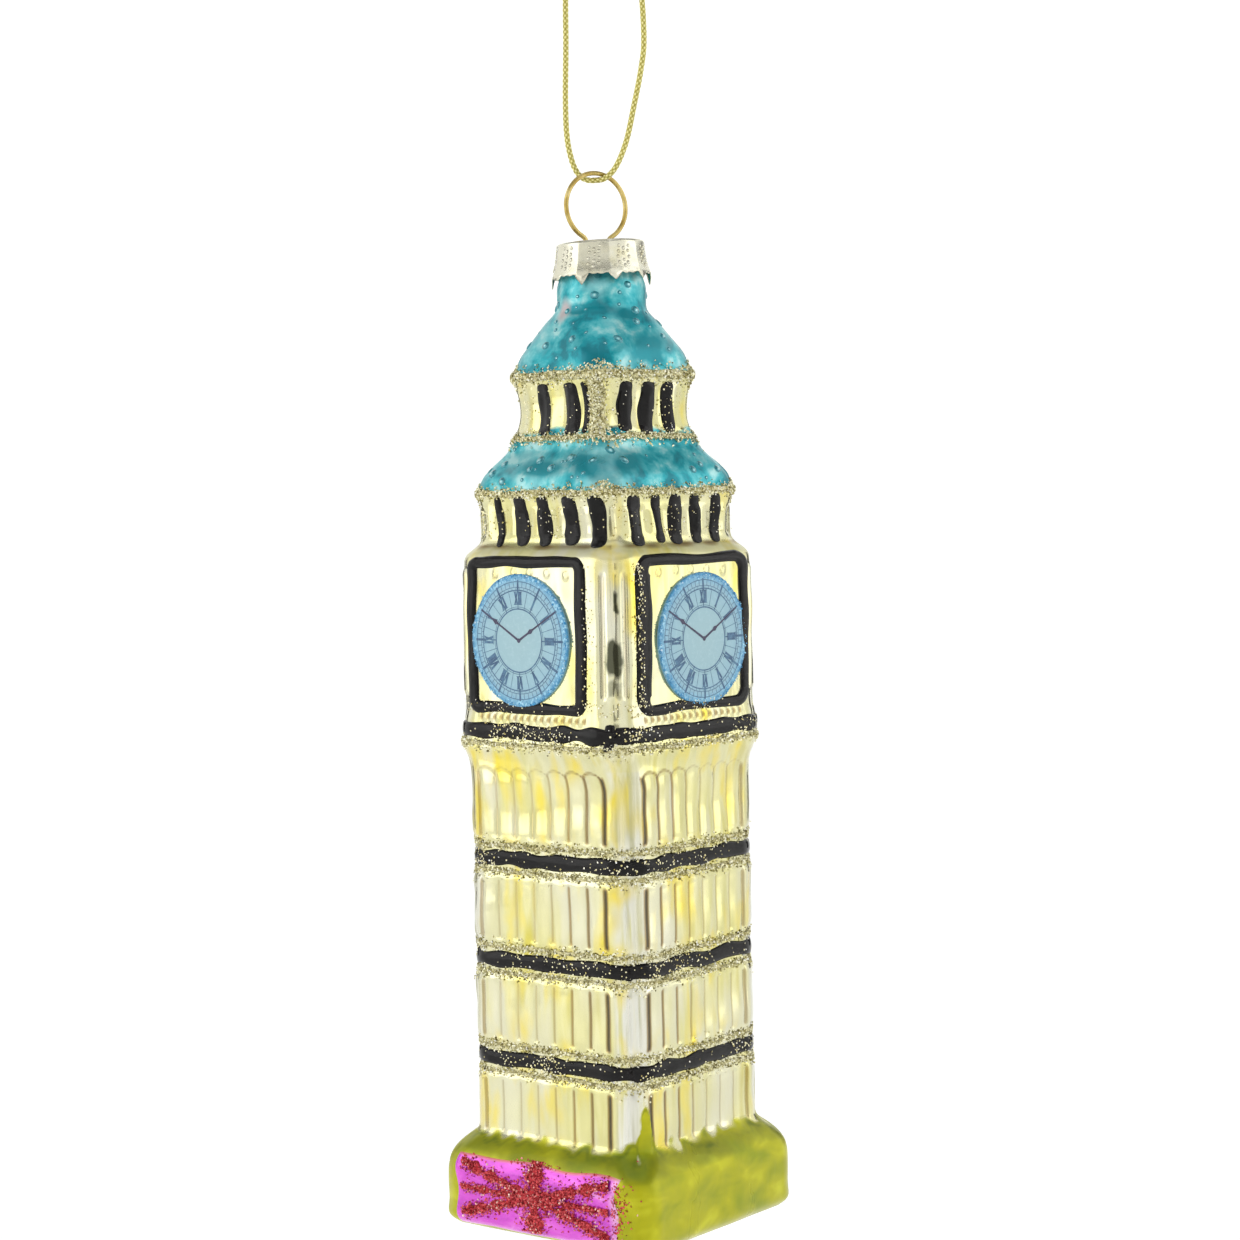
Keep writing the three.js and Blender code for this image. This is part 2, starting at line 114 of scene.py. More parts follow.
class Graph:
    """A Principled material whose calls add nodes and return their output sockets."""

    def __init__(self, name):
        self.material = bpy.data.materials.new(name)
        self.material.use_nodes = True
        self.tree = self.material.node_tree
        self.shader = self.tree.nodes["Principled BSDF"]

    def connect(self, socket, value):
        if isinstance(value, bpy.types.NodeSocket):
            self.tree.links.new(value, socket)
        else:
            socket.default_value = value

    def set(self, **values):
        """Sets inputs of the shader by name, with _ in place of a space."""
        for key, value in values.items():
            self.connect(self.shader.inputs[key.replace("_", " ")], value)

    def add(self, kind, output=0, options=None, inputs=None):
        node = self.tree.nodes.new(kind)
        for key, value in (options or {}).items():
            setattr(node, key, value)
        for key, value in (inputs or {}).items():
            self.connect(node.inputs[key], value)
        return node.outputs[output]

    def place(self, stretch=(1, 1, 1)):
        """Object coordinates in metres, scaled along each axis."""
        coordinates = self.add("ShaderNodeTexCoord", "Object")
        return self.add("ShaderNodeVectorMath", 0, {"operation": "MULTIPLY"},
                        {0: coordinates, 1: stretch})

    def noise(self, size, stretch=(1, 1, 1), detail=3.0, roughness=0.55, distortion=0.0):
        """Smooth noise whose features are about `size` millimetres across."""
        return self.add("ShaderNodeTexNoise", 0, None, {
            "Vector": self.place(stretch), "Scale": 0.6 / (size * MM), "Detail": detail,
            "Roughness": roughness, "Distortion": distortion})

    def cells(self, size, output="Distance"):
        return self.add("ShaderNodeTexVoronoi", output, None,
                        {"Vector": self.place(), "Scale": 1 / (size * MM)})

    def attribute(self, name):
        return self.add("ShaderNodeAttribute", "Fac", {"attribute_name": name})

    def ramp(self, factor, *stops):
        node = self.tree.nodes.new("ShaderNodeValToRGB")
        self.connect(node.inputs[0], factor)
        points = node.color_ramp.elements
        while len(points) < len(stops):
            points.new(0.5)
        for point, (position, value) in zip(points, stops):
            point.position = position
            point.color = colour(value) if isinstance(value, str) else [value] * 3 + [1.0]
        return node.outputs[0]

    def mix(self, factor, first, second):
        """Mixes two colours, which are the node's sockets 6 and 7."""
        return self.add("ShaderNodeMix", 2, {"data_type": "RGBA"}, {0: factor, 6: first, 7: second})

    def tint(self, base, code, mask, start, end, strength):
        """Mixes a colour into `base`: none where the mask is `start`, `strength` at `end`."""
        return self.mix(self.ramp(mask, (start, 0.0), (end, strength)), base, colour(code))

    def math(self, operation, first, second=0.5):
        return self.add("ShaderNodeMath", 0, {"operation": operation}, {0: first, 1: second})

    def bump(self, height, depth, under=None):
        """A bump whose height of 1 stands for `depth` millimetres."""
        inputs = {"Height": height, "Distance": depth * MM, "Strength": 1.0}
        if under is not None:
            inputs["Normal"] = under
        return self.add("ShaderNodeBump", 0, None, inputs)


# ---------------------------------------------------------------- materials

def lacquered_glass():
    """Silvered glass under gold lacquer, with teal roofs and a lime base."""
    g = Graph("lacquered_glass")
    groove_shade = g.attribute("groove_shade")
    streaks = g.noise(2.0, (1, 1, 0.16), 2.0, 0.5)
    clouds = g.noise(9.0, (1, 1, 0.6), 2.0)
    pools = g.noise(2.0, (1, 1, 0.34), 2.0, 0.5, 0.2)
    gold = g.ramp(streaks, (0.30, "D6D2B2"), (0.46, "CFCA8A"), (0.58, "DAD59C"), (0.72, "C8BE5C"))
    gold = g.tint(gold, "D8D6C0", clouds, 0.42, 0.66, 0.75)
    runs = g.noise(0.9, (1, 1, 0.05), 3.0)
    silver = g.ramp(runs, (0.36, "B4B296"), (0.47, "DEDDD4"), (0.57, "E2E1D8"), (0.68, "D2CE9A"))
    bare = g.math("MULTIPLY", g.attribute("silver"), g.ramp(streaks, (0.35, 0.95), (0.65, 0.45)))
    gold = g.mix(bare, gold, silver)
    wet = g.math("MULTIPLY", g.ramp(pools, (0.50, 0.0), (0.72, 0.85)), g.attribute("pool"))
    gold = g.mix(wet, gold, colour("E6D032"))
    # Painted shade: brown and near-black lines in the grooves and hollows of the glass.
    gold = g.tint(gold, "86682A", groove_shade, 0.10, 0.50, 0.75)
    gold = g.tint(gold, "332A10", groove_shade, 0.55, 0.95, 0.88)

    # Painted reflection: dark streaks on the near corner of the clock storey.
    painted_reflection = g.math("MULTIPLY", g.attribute("corner_reflection"), g.ramp(g.noise(0.8), (0.35, 0.7), (0.6, 1.0)))
    gold = g.tint(gold, "33361F", painted_reflection, 0.2, 0.7, 0.92)

    drift = g.noise(2.3, (1, 1, 1), 4.0, 0.58, 0.25)
    wash = g.noise(5.0, (1, 1, 0.8), 3.0, 0.6)
    teal = g.ramp(drift, (0.34, "A2D3D3"), (0.44, "54B6BD"), (0.54, "149AA6"), (0.63, "007885"))
    teal = g.tint(teal, "A4D2D3", wash, 0.54, 0.74, 0.55)
    deep = g.math("MULTIPLY", g.ramp(g.noise(1.8), (0.35, 0.6), (0.6, 1.0)), g.attribute("deep"))
    teal = g.tint(teal, "00838F", deep, 0.10, 0.55, 0.95)
    teal = g.tint(teal, "C9A9A9", g.attribute("blush"), 0.2, 0.8, 0.7)

    brush = g.noise(3.0, (0.8, 0.8, 1.4), 2.5, 0.55, 0.3)
    lime = g.ramp(brush, (0.30, "8C9600"), (0.45, "A1A200"), (0.58, "AEAC00"), (0.74, "C4C41E"))
    shade = g.math("MULTIPLY", g.noise(4.0, (1, 1, 1.4), 3.0), g.attribute("shade"))
    lime = g.tint(lime, "4A5F0C", shade, 0.20, 0.50, 0.8)

    teal_part, lime_part = g.attribute("teal"), g.attribute("lime")
    paint = g.mix(lime_part, g.mix(teal_part, gold, teal), lime)
    covered = g.math("MAXIMUM", teal_part, lime_part)
    metal = g.ramp(g.math("MAXIMUM", covered, g.attribute("blur")), (0.0, 0.96), (1.0, 0.40))
    fog = g.noise(5.0, (1, 1, 0.5), 3.0)
    dull = g.math("ADD", g.ramp(fog, (0.3, 0.10), (0.7, 0.22)), g.math("MULTIPLY", covered, 0.16))
    dull = g.math("ADD", dull, g.math("MULTIPLY", groove_shade, 0.2))
    dull = g.math("ADD", dull, g.math("MULTIPLY", g.attribute("blur"), 0.35))
    gloss = g.ramp(covered, (0.0, 0.5), (1.0, 0.12))
    ripple = g.noise(1.3, (1, 1, 0.4), 2.0)
    g.set(Base_Color=paint, Metallic=metal, Roughness=dull, Coat_Weight=gloss,
          Coat_Roughness=0.05, Specular_IOR_Level=0.35,
          Normal=g.bump(ripple, 0.05, g.bump(g.noise(5.0), 0.12)))
    return g.material


def black_enamel():
    g = Graph("black_enamel")
    tone = g.ramp(g.noise(2.0), (0.35, "080707"), (0.7, "161314"))
    haze = g.ramp(g.noise(1.1), (0.4, 0.08), (0.75, 0.24))
    g.set(Base_Color=tone, Roughness=haze, Specular_IOR_Level=0.22,
          Normal=g.bump(g.noise(1.6, detail=2.0), 0.06))
    return g.material


def glitter(name, dark, middle, light, painted_glint):
    """Metallic flakes, each with a shade of its own: the darkest flakes are painted shade and the
    near-white ones painted glints.
    """
    g = Graph(name)
    own = g.add("ShaderNodeNewGeometry", "Random Per Island")
    tone = g.ramp(own, (0.0, dark), (0.22, middle), (0.55, light), (0.85, light), (1.0, painted_glint))
    scratch = g.noise(0.12, detail=2.0)
    g.set(Base_Color=g.mix(g.ramp(scratch, (0.4, 0.0), (0.7, 0.25)), tone, colour(dark)),
          Metallic=0.55, Roughness=g.ramp(scratch, (0.3, 0.20), (0.7, 0.40)))
    return g.material


def glitter_bed(name, dark, light):
    """The lacquer under the flakes, grainy with those that sank into it."""
    g = Graph(name)
    grain = g.cells(0.28, "Color")
    depth = g.cells(0.28)
    tone = g.ramp(grain, (0.15, dark), (0.85, light))
    g.set(Base_Color=tone, Metallic=0.6, Roughness=g.ramp(grain, (0.2, 0.25), (0.8, 0.55)),
          Normal=g.bump(depth, 0.12))
    return g.material


def clock_face():
    """Pale blue print that deepens to a glittery rim; `ring` runs from 0 at the middle to 1."""
    g = Graph("clock_face")
    ring = g.attribute("ring")
    speck = g.noise(0.35, roughness=0.7)
    edge = g.math("ADD", ring, g.math("MULTIPLY", g.math("SUBTRACT", speck, 0.5), 0.16))
    base = g.ramp(edge, (0.0, "95B6BF"), (0.46, "92B5C0"), (0.54, "90B5C2"), (0.82, "8BB2C4"),
                  (0.93, "6CA6C6"), (0.99, "3A8CBC"))
    rim = g.ramp(ring, (0.82, 0.0), (0.93, 1.0))
    sparkle = g.math("MULTIPLY", g.ramp(g.cells(0.32, "Color"), (0.62, 0.0), (0.80, 1.0)), rim)
    depth = g.math("MULTIPLY", g.ramp(g.cells(0.27, "Color"), (0.70, 0.0), (0.90, 0.8)), rim)
    base = g.mix(sparkle, base, colour("98CBE2"))
    base = g.mix(depth, base, colour("3380B4"))
    base = g.tint(base, "C4DFE6", speck, 0.5, 0.8, 0.25)
    g.set(Base_Color=base, Roughness=g.ramp(speck, (0.3, 0.30), (0.7, 0.48)), Metallic=0.1,
          Coat_Weight=0.25, Coat_Roughness=0.2, Normal=g.bump(g.noise(0.4), 0.03))
    return g.material


def ink(name, dark, light):
    g = Graph(name)
    wear = g.noise(0.5, roughness=0.7)
    g.set(Base_Color=g.ramp(wear, (0.4, dark), (0.75, light)),
          Roughness=g.ramp(wear, (0.3, 0.35), (0.7, 0.5)))
    return g.material


def magenta_paint():
    g = Graph("magenta_paint")
    brush = g.noise(2.6, (0.4, 1, 1.2), 4.0, 0.6, 0.9)
    base = g.ramp(brush, (0.32, "B422B6"), (0.48, "D13ACB"), (0.62, "DE5AD6"), (0.78, "EFA6E6"))
    edge = g.attribute("edge")
    base = g.tint(base, "C9683F", edge, 0.35, 0.95, 0.9)
    worn = g.math("MULTIPLY", g.attribute("worn"), g.ramp(brush, (0.35, 0.55), (0.6, 1.0)))
    base = g.tint(base, "E3BFD2", worn, 0.30, 0.9, 0.6)
    g.set(Base_Color=base, Metallic=0.35, Roughness=g.ramp(brush, (0.3, 0.14), (0.7, 0.26)),
          Coat_Weight=0.8, Coat_Roughness=0.05, Normal=g.bump(g.noise(2.0), 0.06))
    return g.material


def lacquer_drop():
    g = Graph("lacquer_drop")
    rim = g.attribute("ring")
    tint = g.noise(2.5)
    # The pale middle of each bead is a painted highlight.
    base = g.ramp(rim, (0.0, "D6F1F1"), (0.30, "6FC3CA"), (0.55, "04737F"), (0.85, "067A86"),
                  (1.0, "2FA0AA"))
    g.set(Base_Color=g.mix(g.ramp(tint, (0.3, 0.0), (0.7, 0.3)), base, colour("0E8791")),
          Metallic=0.3, Roughness=g.ramp(tint, (0.3, 0.06), (0.7, 0.14)), Coat_Weight=1.0,
          Coat_Roughness=0.02)
    return g.material


def cap_metal():
    g = Graph("cap_metal")
    brushed = g.noise(0.35, (1, 1, 8), 3.0, 0.6)
    stain = g.noise(2.4)
    base = g.ramp(stain, (0.32, "C9C5AF"), (0.52, "DDDAC9"), (0.72, "D3CCA8"))
    base = g.tint(base, "B4B09C", g.attribute("dull"), 0.0, 1.0, 0.45)
    # Painted shade inside the cap and in rings round the embossed dots.
    base = g.tint(base, "85806C", g.attribute("groove_shade"), 0.2, 1.0, 0.6)
    g.set(Base_Color=base, Metallic=0.95, Roughness=g.ramp(brushed, (0.3, 0.15), (0.7, 0.27)),
          Normal=g.bump(brushed, 0.012, g.bump(g.noise(0.9), 0.05)))
    return g.material


def hanger_wire():
    g = Graph("hanger_wire")
    drawn = g.noise(0.12, (1, 1, 0.15), 3.0)
    tone = g.ramp(g.noise(1.4), (0.35, "A68C48"), (0.55, "C6B06C"), (0.75, "DCCB96"))
    g.set(Base_Color=tone, Metallic=0.95, Roughness=g.ramp(drawn, (0.3, 0.20), (0.7, 0.36)),
          Normal=g.bump(drawn, 0.008))
    return g.material


def gold_cord():
    """Metallic threads, with painted shade in the valleys between the plies and painted highlights
    on their crests.
    """
    g = Graph("gold_cord")
    ply = g.attribute("ply")
    fibre = g.noise(0.14, (1, 1, 0.6), 3.0, 0.7)
    tone = g.ramp(ply, (0.0, "4E461A"), (0.35, "A89E48"), (0.7, "DCD280"), (1.0, "FAF4C0"))
    tone = g.tint(tone, "A89C48", fibre, 0.45, 0.65, 0.5)
    g.set(Base_Color=tone, Metallic=0.55, Roughness=g.ramp(fibre, (0.3, 0.30), (0.7, 0.52)),
          Sheen_Weight=0.15, Normal=g.bump(fibre, 0.03))
    return g.material


def backdrop_paper():
    g = Graph("backdrop_paper")
    tone = g.ramp(g.noise(160.0), (0.3, "F0F0EE"), (0.7, "F6F6F4"))
    g.set(Base_Color=tone, Roughness=0.95, Emission_Color=tone, Emission_Strength=0.42)
    return g.material


def card_paper(name, low, high):
    g = Graph(name)
    g.set(Base_Color=g.ramp(g.noise(40.0), (0.3, low), (0.7, high)), Roughness=0.9)
    return g.material


GLASS = lacquered_glass()
ENAMEL = black_enamel()
# The last colour given to each glitter is a near-white painted glint.
GOLD_FLAKE = glitter("gold_flake", "6A6032", "C0B774", "FAF6D2", "FFFFFC")
GOLD_SPECK = glitter("gold_speck", "B7A45C", "EBE0A4", "FBF4CC", "FFFFFF")
GOLD_BED = glitter_bed("gold_bed", "8B814E", "ECE4B4")
RED_FLAKE = glitter("red_flake", "7E1520", "C23A44", "E2585C", "FFDCD0")
RED_BED = glitter_bed("red_bed", "8E1C28", "CC3A44")
BLUE_FLAKE = glitter("blue_flake", "2F86BE", "55A5D2", "93C6E2", "EAF8FD")
FACE = clock_face()
FACE_INK = ink("face_ink", "38597C", "5A84A2")
HAND_INK = ink("hand_ink", "35304C", "4E4A66")
MAGENTA = magenta_paint()
DROP = lacquer_drop()
CAP_METAL = cap_metal()
WIRE = hanger_wire()
CORD = gold_cord()


# ---------------------------------------------------------------- meshes

def add_mesh(name, points, faces, material, smooth=True):
    mesh = bpy.data.meshes.new(name)
    mesh.from_pydata(points, [], faces)
    mesh.polygons.foreach_set("use_smooth", [smooth] * len(mesh.polygons))
    mesh.materials.append(material)
    return mesh


def make_piece(name, points, faces, material, body, replaced=(), marks=None, smooth=True):
    """A mesh that rides on a body. `marks` maps an attribute's name to one value per vertex."""
    points = np.asarray(points, dtype=np.float32).reshape(-1, 3)
    mesh = add_mesh(name, points.tolist(), [list(face) for face in faces], material, smooth)
    for key, values in (marks or {}).items():
        attribute = mesh.attributes.new(key, "FLOAT", "POINT")
        attribute.data.foreach_set("value", np.asarray(values, dtype=np.float32).ravel())
    mesh.update()
    piece = add_object(name, mesh)
    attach(piece, body)
    if replaced:
        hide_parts(*replaced)
    return piece


def grid_faces(rows, columns, around=False):
    """Quads of a grid of points; `around` joins its last column to its first."""
    last = columns if around else columns - 1
    row, column = np.meshgrid(np.arange(rows - 1), np.arange(last), indexing="ij")
    after = (column + 1) % columns
    corners = [row * columns + column, row * columns + after,
               (row + 1) * columns + after, (row + 1) * columns + column]
    return np.stack([c.ravel() for c in corners], axis=1).tolist()


def disc_faces(rows, columns):
    """Faces of rings of points, with the first ring closed."""
    return grid_faces(rows, columns, around=True) + [list(range(columns))[::-1]]


def tube_faces(rows, columns):
    """Faces of rings of points, with both end rings closed."""
    last = (rows - 1) * columns
    return disc_faces(rows, columns) + [list(range(last, last + columns))]


def full_turn(count):
    """Angles at even steps right round."""
    return np.linspace(0, 2 * math.pi, count, endpoint=False)


class Parts:
    """Collects several grids into one mesh."""

    def __init__(self):
        self.points, self.faces, self.marks, self.count = [], [], {}, 0

    def add(self, points, faces, **marks):
        points = np.asarray(points, dtype=float).reshape(-1, 3)
        self.points.append(points)
        self.faces.extend([corner + self.count for corner in face] for face in faces)
        self.count += len(points)
        for key, values in marks.items():
            spread = np.broadcast_to(np.asarray(values, dtype=float).ravel(), (len(points),))
            self.marks.setdefault(key, []).append(spread)

    def make(self, name, material, body, slot, replaced=()):
        marks = {key: np.concatenate(values) for key, values in self.marks.items()}
        return make_piece(name, np.concatenate(self.points), self.faces, material, body,
                          replaced, marks)


def smooth_step(value, start, end):
    """0 at `start` rising softly to 1 at `end`."""
    t = np.clip((np.asarray(value, dtype=float) - start) / (end - start), 0, 1)
    return t * t * (3 - 2 * t)


def window(value, foot, top, fade):
    """1 between two values, fading softly to 0 at both."""
    return smooth_step(value, foot, foot + fade) * smooth_step(value, top, top - fade)


def hump(value, centre, width):
    """A bell curve of height 1."""
    return np.exp(-((value - centre) / width) ** 2)


def waves(points, size, seed, count=9):
    """Smooth irregularity of about -1 to 1 whose features are about `size` long."""
    source = np.random.default_rng(seed)
    total = 0
    for _ in range(count):
        direction = source.normal(size=points.shape[-1])
        direction *= 2 * math.pi / (size * source.uniform(1.4, 2.8)) / np.linalg.norm(direction)
        total = total + np.sin(points @ direction + source.uniform(0, 2 * math.pi))
    return total / math.sqrt(count)


def line_waves(values, size, seed):
    return waves(np.asarray(values, dtype=float)[..., None], size, seed)


# ---------------------------------------------------------------- the tower's surface

BANDS = ("lower", "middle", "upper")
SHAFT_FOOT = 13.0
COVE_FOOT = levels("glitter_clock_foot")[0] - 2.5
CLOCK_FOOT, CLOCK_TOP = levels("clock_frame_front")
CLOCK_CENTRE = (CLOCK_FOOT + CLOCK_TOP) / 2
EAVE = levels("glitter_eave")
LANTERN_FOOT = levels("glitter_lantern_foot")
ROOF_EDGE = levels("glitter_lantern_top")
NECK_TOP = levels("glass_body")[1]
WALL = 1.0

TIERS = [SHAFT_FOOT]
for band_name in BANDS:
    TIERS.append(levels(f"glitter_{band_name}_foot")[0] - 0.3)
    TIERS.append(levels(f"glitter_{band_name}_top")[1] + 0.3)
TIERS = list(zip(TIERS[0::2], TIERS[1::2] + [COVE_FOOT]))
RIB_COUNT = 7
RIB_FIELD = 22.2
RIB_ASIDE = 0.65
RIB_DEPTH = 0.34
BELFRY = (95.6, EAVE[0] - 1.2)
LANTERN = (LANTERN_FOOT[1] + 0.1, ROOF_EDGE[0] - 0.2)

# The upper storeys stand out of line: foot and top of each twist, and its turn in degrees.
TWISTS = ((61.5, 68.0, -4.6), (95.5, 108.0, -4.4))


def twist(height):
    """Turn of the tower about its upright axis, in radians."""
    return sum(math.radians(turn) * smooth_step(height, foot, top) for foot, top, turn in TWISTS)


def measure_outline():
    """Half-widths and corner radii of the CAD glass, found by rays.

    Its edges are softened. The lower roof gets rounder corners and a slimmer edge, and the upper
    roof is made a little fuller.
    """
    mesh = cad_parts["glass_body"].data
    tree = BVHTree.FromPolygons([v.co for v in mesh.vertices], [p.vertices for p in mesh.polygons])
    heights = np.arange(0.05, NECK_TOP, 0.1)
    halves, corners = [], []
    for height in heights:
        reaches = []
        for angle in (twist(height), twist(height) + math.pi / 4):
            outward_way = Vector((math.sin(angle), -math.cos(angle), 0))
            start = outward_way * 0.1 + Vector((0, 0, UNDERSIDE + height * MM))
            reaches.append(tree.ray_cast(start, -outward_way)[0].xy.length / MM)
        half, reach = reaches
        corner = np.clip((math.sqrt(2) * half - reach) / (math.sqrt(2) - 1), 0.3, half)
        eaves = smooth_step(height, EAVE[0], EAVE[1] + 1.5)
        roof = eaves * smooth_step(height, LANTERN_FOOT[0], LANTERN_FOOT[0] - 2)
        swell = smooth_step(height, ROOF_EDGE[1], ROOF_EDGE[1] + 2.5)
        swell *= smooth_step(height, 131.5, 130)
        bulge = swell * smooth_step(height, 127.5, 125.5)
        half += 0.25 * swell + 0.30 * bulge - 0.3 * hump(height, EAVE[1], 1.3)
        halves.append(half)
        corners.append(min(half, corner + 0.6 * roof))
    return heights, soften(halves, 4.5), soften(corners, 9.0)


def soften(values, spread):
    """Gaussian smoothing of a row of values, over `spread` steps."""
    steps = np.arange(-30, 31)
    kernel = np.exp(-0.5 * (steps / spread) ** 2)
    return np.convolve(np.pad(values, 30, mode="edge"), kernel / kernel.sum(), mode="valid")


OUTLINE = measure_outline()


def section(height):
    """Half-width and corner radius of the tower's outside at a height."""
    heights, halves, corners = OUTLINE
    return np.interp(height, heights, halves), np.interp(height, heights, corners)


def reach_at(height):
    """Distance s from the middle of a side to its corner, along the surface."""
    half, corner = section(height)
    return half - corner + corner * math.pi / 4


def past_corner(number, aside, height):
    """Side and distance s of a spot `aside` from the corner after side `number`."""
    reach = reach_at(height)
    over = aside > 0
    return np.where(over, (number + 1) % 4, number), np.where(over, -reach, reach) + aside


def groove_shade_strength(side, s):
    """Strength of the painted shade in the grooves, greatest towards the corner between the front
    and right sides.
    """
    near = np.where(side == 0, s, np.where(side == 1, -s, -4.0))
    return 0.42 + 0.58 * smooth_step(near, -2.0, 9.5)


def ribs(side, s, height):
    """How far the fluting lies under the shaft's surface, and how much painted shade a point gets
    in the grooves.
    """
    shade_strength = groove_shade_strength(side, s)
    s = s + np.where(np.asarray(side) < 2, RIB_ASIDE, 0)
    depth, groove_shade = np.zeros_like(s), np.zeros_like(s)
    across = np.abs(np.mod((s / RIB_FIELD + 0.5) * RIB_COUNT, 1) * 2 - 1)
    field = smooth_step(np.abs(s), RIB_FIELD / 2 + 0.25, RIB_FIELD / 2 - 0.15)
    reed = 1 - np.sqrt(1 - (0.96 * across) ** 2)
    between = field * smooth_step(across, 0.82 - 0.12 * shade_strength, 0.98) * 0.8
    border = smooth_step(np.abs(np.abs(s) - RIB_FIELD / 2), 0.20 + 0.55 * shade_strength, 0.12)
    lines = np.maximum(between, border)
    for foot, top in TIERS:
        has_heads = (foot, top) == TIERS[-1]
        head = top - 0.7 * across ** 2 * has_heads
        along = smooth_step(height, foot - 0.1, foot + 0.5) * smooth_step(height, head, head - 0.7)
        depth += field * along * (0.10 + RIB_DEPTH * reed)
        groove_shade += shade_strength * along * lines
        groove_shade += shade_strength * field * hump(height, head - 0.25, 0.22) * 0.55 * has_heads
    return depth, groove_shade


def columns(s, height, count, width, foot, top, rise):
    """Soft upright reeds such as those between the painted stripes."""
    across = np.cos(2 * math.pi * (s / width) * count)
    field = smooth_step(np.abs(s), width / 2 + 0.4, width / 2 - 0.4)
    return rise * across * window(height, foot, top, 0.8) * field


# Rivets over each dial: aside from the middle of the side, and above that of the storey.
RIVETS = ((-6.4, 8.35), (-2.9, 8.6), (0.1, 8.6), (3.3, 8.5), (6.7, 8.2))
DENTIL_PITCH = 1.3


def clock_relief(s, height, reach):
    """Corner ridge, panel, rivets and dentils of the clock storey, with painted shade in the valley
    by the corner, in rings round the rivets and between the dentils.
    """
    along = smooth_step(height, CLOCK_FOOT + 2.0, CLOCK_FOOT + 2.8)
    along = along * smooth_step(height, CLOCK_TOP - 1.6, CLOCK_TOP - 2.6)
    from_corner = reach - np.abs(s)
    valley = along * hump(from_corner, 1.65, 0.32)
    lift = along * 0.22 * smooth_step(from_corner, 1.25, 0.75) - 0.30 * valley
    groove_shade = 0.3 * valley
    for rivet_s, rise in RIVETS:
        far = np.hypot(s - rivet_s, height - CLOCK_CENTRE - rise)
        lift += 0.16 * hump(far, 0.36, 0.13)
        groove_shade += 0.35 * hump(far, 0.55, 0.10)
    row = window(height, CLOCK_FOOT - 0.95, CLOCK_FOOT - 0.15, 0.15) * (np.abs(s) < 10.2)
    tooth = smooth_step(np.cos(2 * math.pi * s / DENTIL_PITCH), -0.5, 0.5)
    return lift + row * 0.16 * tooth, groove_shade + row * (1 - tooth) * 0.6


def relief(side, s, height, reach):
    """Lift of the glass out of its plain section, and the painted shade in its grooves and hollows.
    """
    depth, groove_shade = ribs(side, s, height)
    lift = -depth
    lift += columns(s, height, 5, 23.5, *BELFRY, 0.22)
    lift += columns(s, height, 4, 16.5, *LANTERN, 0.18)
    clock_lift, clock_groove_shade = clock_relief(s, height, reach)
    lift += clock_lift
    groove_shade += clock_groove_shade
    spread = unrolled(side, s, height)
    lift += 0.05 * waves(spread, 4.0, 3) + 0.07 * waves(spread, 9.0, 4)
    return lift, np.clip(groove_shade, 0, 1)


def place(side, s, height, lift=0.0, bare=False, inset=0.0):
    """Points on the tower in metres. `bare` leaves out the relief, `inset` steps inwards."""
    side, s, height, lift = np.broadcast_arrays(
        *(np.asarray(v, dtype=float) for v in (side, s, height, lift)))
    half, corner = section(height)
    half, corner = half - inset, np.maximum(corner - inset, 0.3)
    flat = half - corner
    reach = flat + corner * math.pi / 4
    if not bare:
        lift = lift + relief(side, s, height, reach)[0]
    turn = np.clip((np.abs(s) - flat) / corner, 0, math.pi / 4)
    out_x, out_y = np.sign(s) * np.sin(turn), -np.cos(turn)
    x = np.where(turn > 0, np.sign(s) * flat, s) + (corner * (turn > 0) + lift) * out_x
    y = -flat + (corner + lift) * out_y
    angle = side * math.pi / 2 + twist(height)
    cos, sin = np.cos(angle), np.sin(angle)
    z = UNDERSIDE / MM + height
    return np.stack([x * cos - y * sin, x * sin + y * cos, z], axis=-1) * MM


def outward(side, s, height):
    """Level unit vectors that point out of the tower."""
    step = place(side, s, height, 1.0, bare=True) - place(side, s, height, 0.0, bare=True)
    return step / np.linalg.norm(step, axis=-1, keepdims=True)


def around(height, count):
    """Side numbers and distances s of `count` columns on each side, right round the tower."""
    side = np.repeat(np.arange(4), count)
    share = np.tile((np.arange(count) + 0.5) / count * 2 - 1, 4)
    return side, np.asarray(reach_at(height))[..., None] * share


# Added to s for each side, so that irregularities differ from side to side.
SIDE_STEP = 40.0


def unrolled(side, s, height):
    """Distance right round the tower, and height, as flat coordinates."""
    return np.stack(np.broadcast_arrays(s + SIDE_STEP * side, height), axis=-1)


# ---------------------------------------------------------------- glass

SIDE_COLUMNS = 144
ROW_STEP = 0.3


def corner_reflection_marks(side, s, height, reach):
    """Painted reflection: dark streaks on the near corner of the clock storey, where it mirrors the
    darker studio behind the camera.
    """
    from_corner = reach - np.where(side == 0, s, np.where(side == 1, -s, -reach))
    from_corner = from_corner + 0.25 * line_waves(height, 1.8, 23)
    ragged = height + 0.5 * line_waves(from_corner + 3 * side, 1.1, 24)
    broad = smooth_step(ragged, 76.8, 78.4) * smooth_step(ragged, 82.9, 81.6)
    faint = window(ragged, 74.2, 77.4, 0.8) * 0.5
    thin = smooth_step(ragged, 85.8, 86.4) * smooth_step(ragged, 89.4, 88.6)
    wide = np.exp(-(from_corner / 1.15) ** 4) * (broad + faint)
    return np.maximum(wide, np.exp(-((from_corner - 0.3) / 0.38) ** 4) * thin * (side == 1))


# Deep patches in the teal: across from the near corner, height, and their half-sizes.
DEEP_PATCHES = ((-2.2, 105.3, 3.6, 1.9), (4.2, 105.9, 2.6, 1.3), (-10.5, 105.2, 4.0, 1.1),
                (8.0, 121.3, 3.6, 2.6), (4.2, 126.3, 2.8, 0.9), (-2.8, 127.0, 3.0, 0.8))


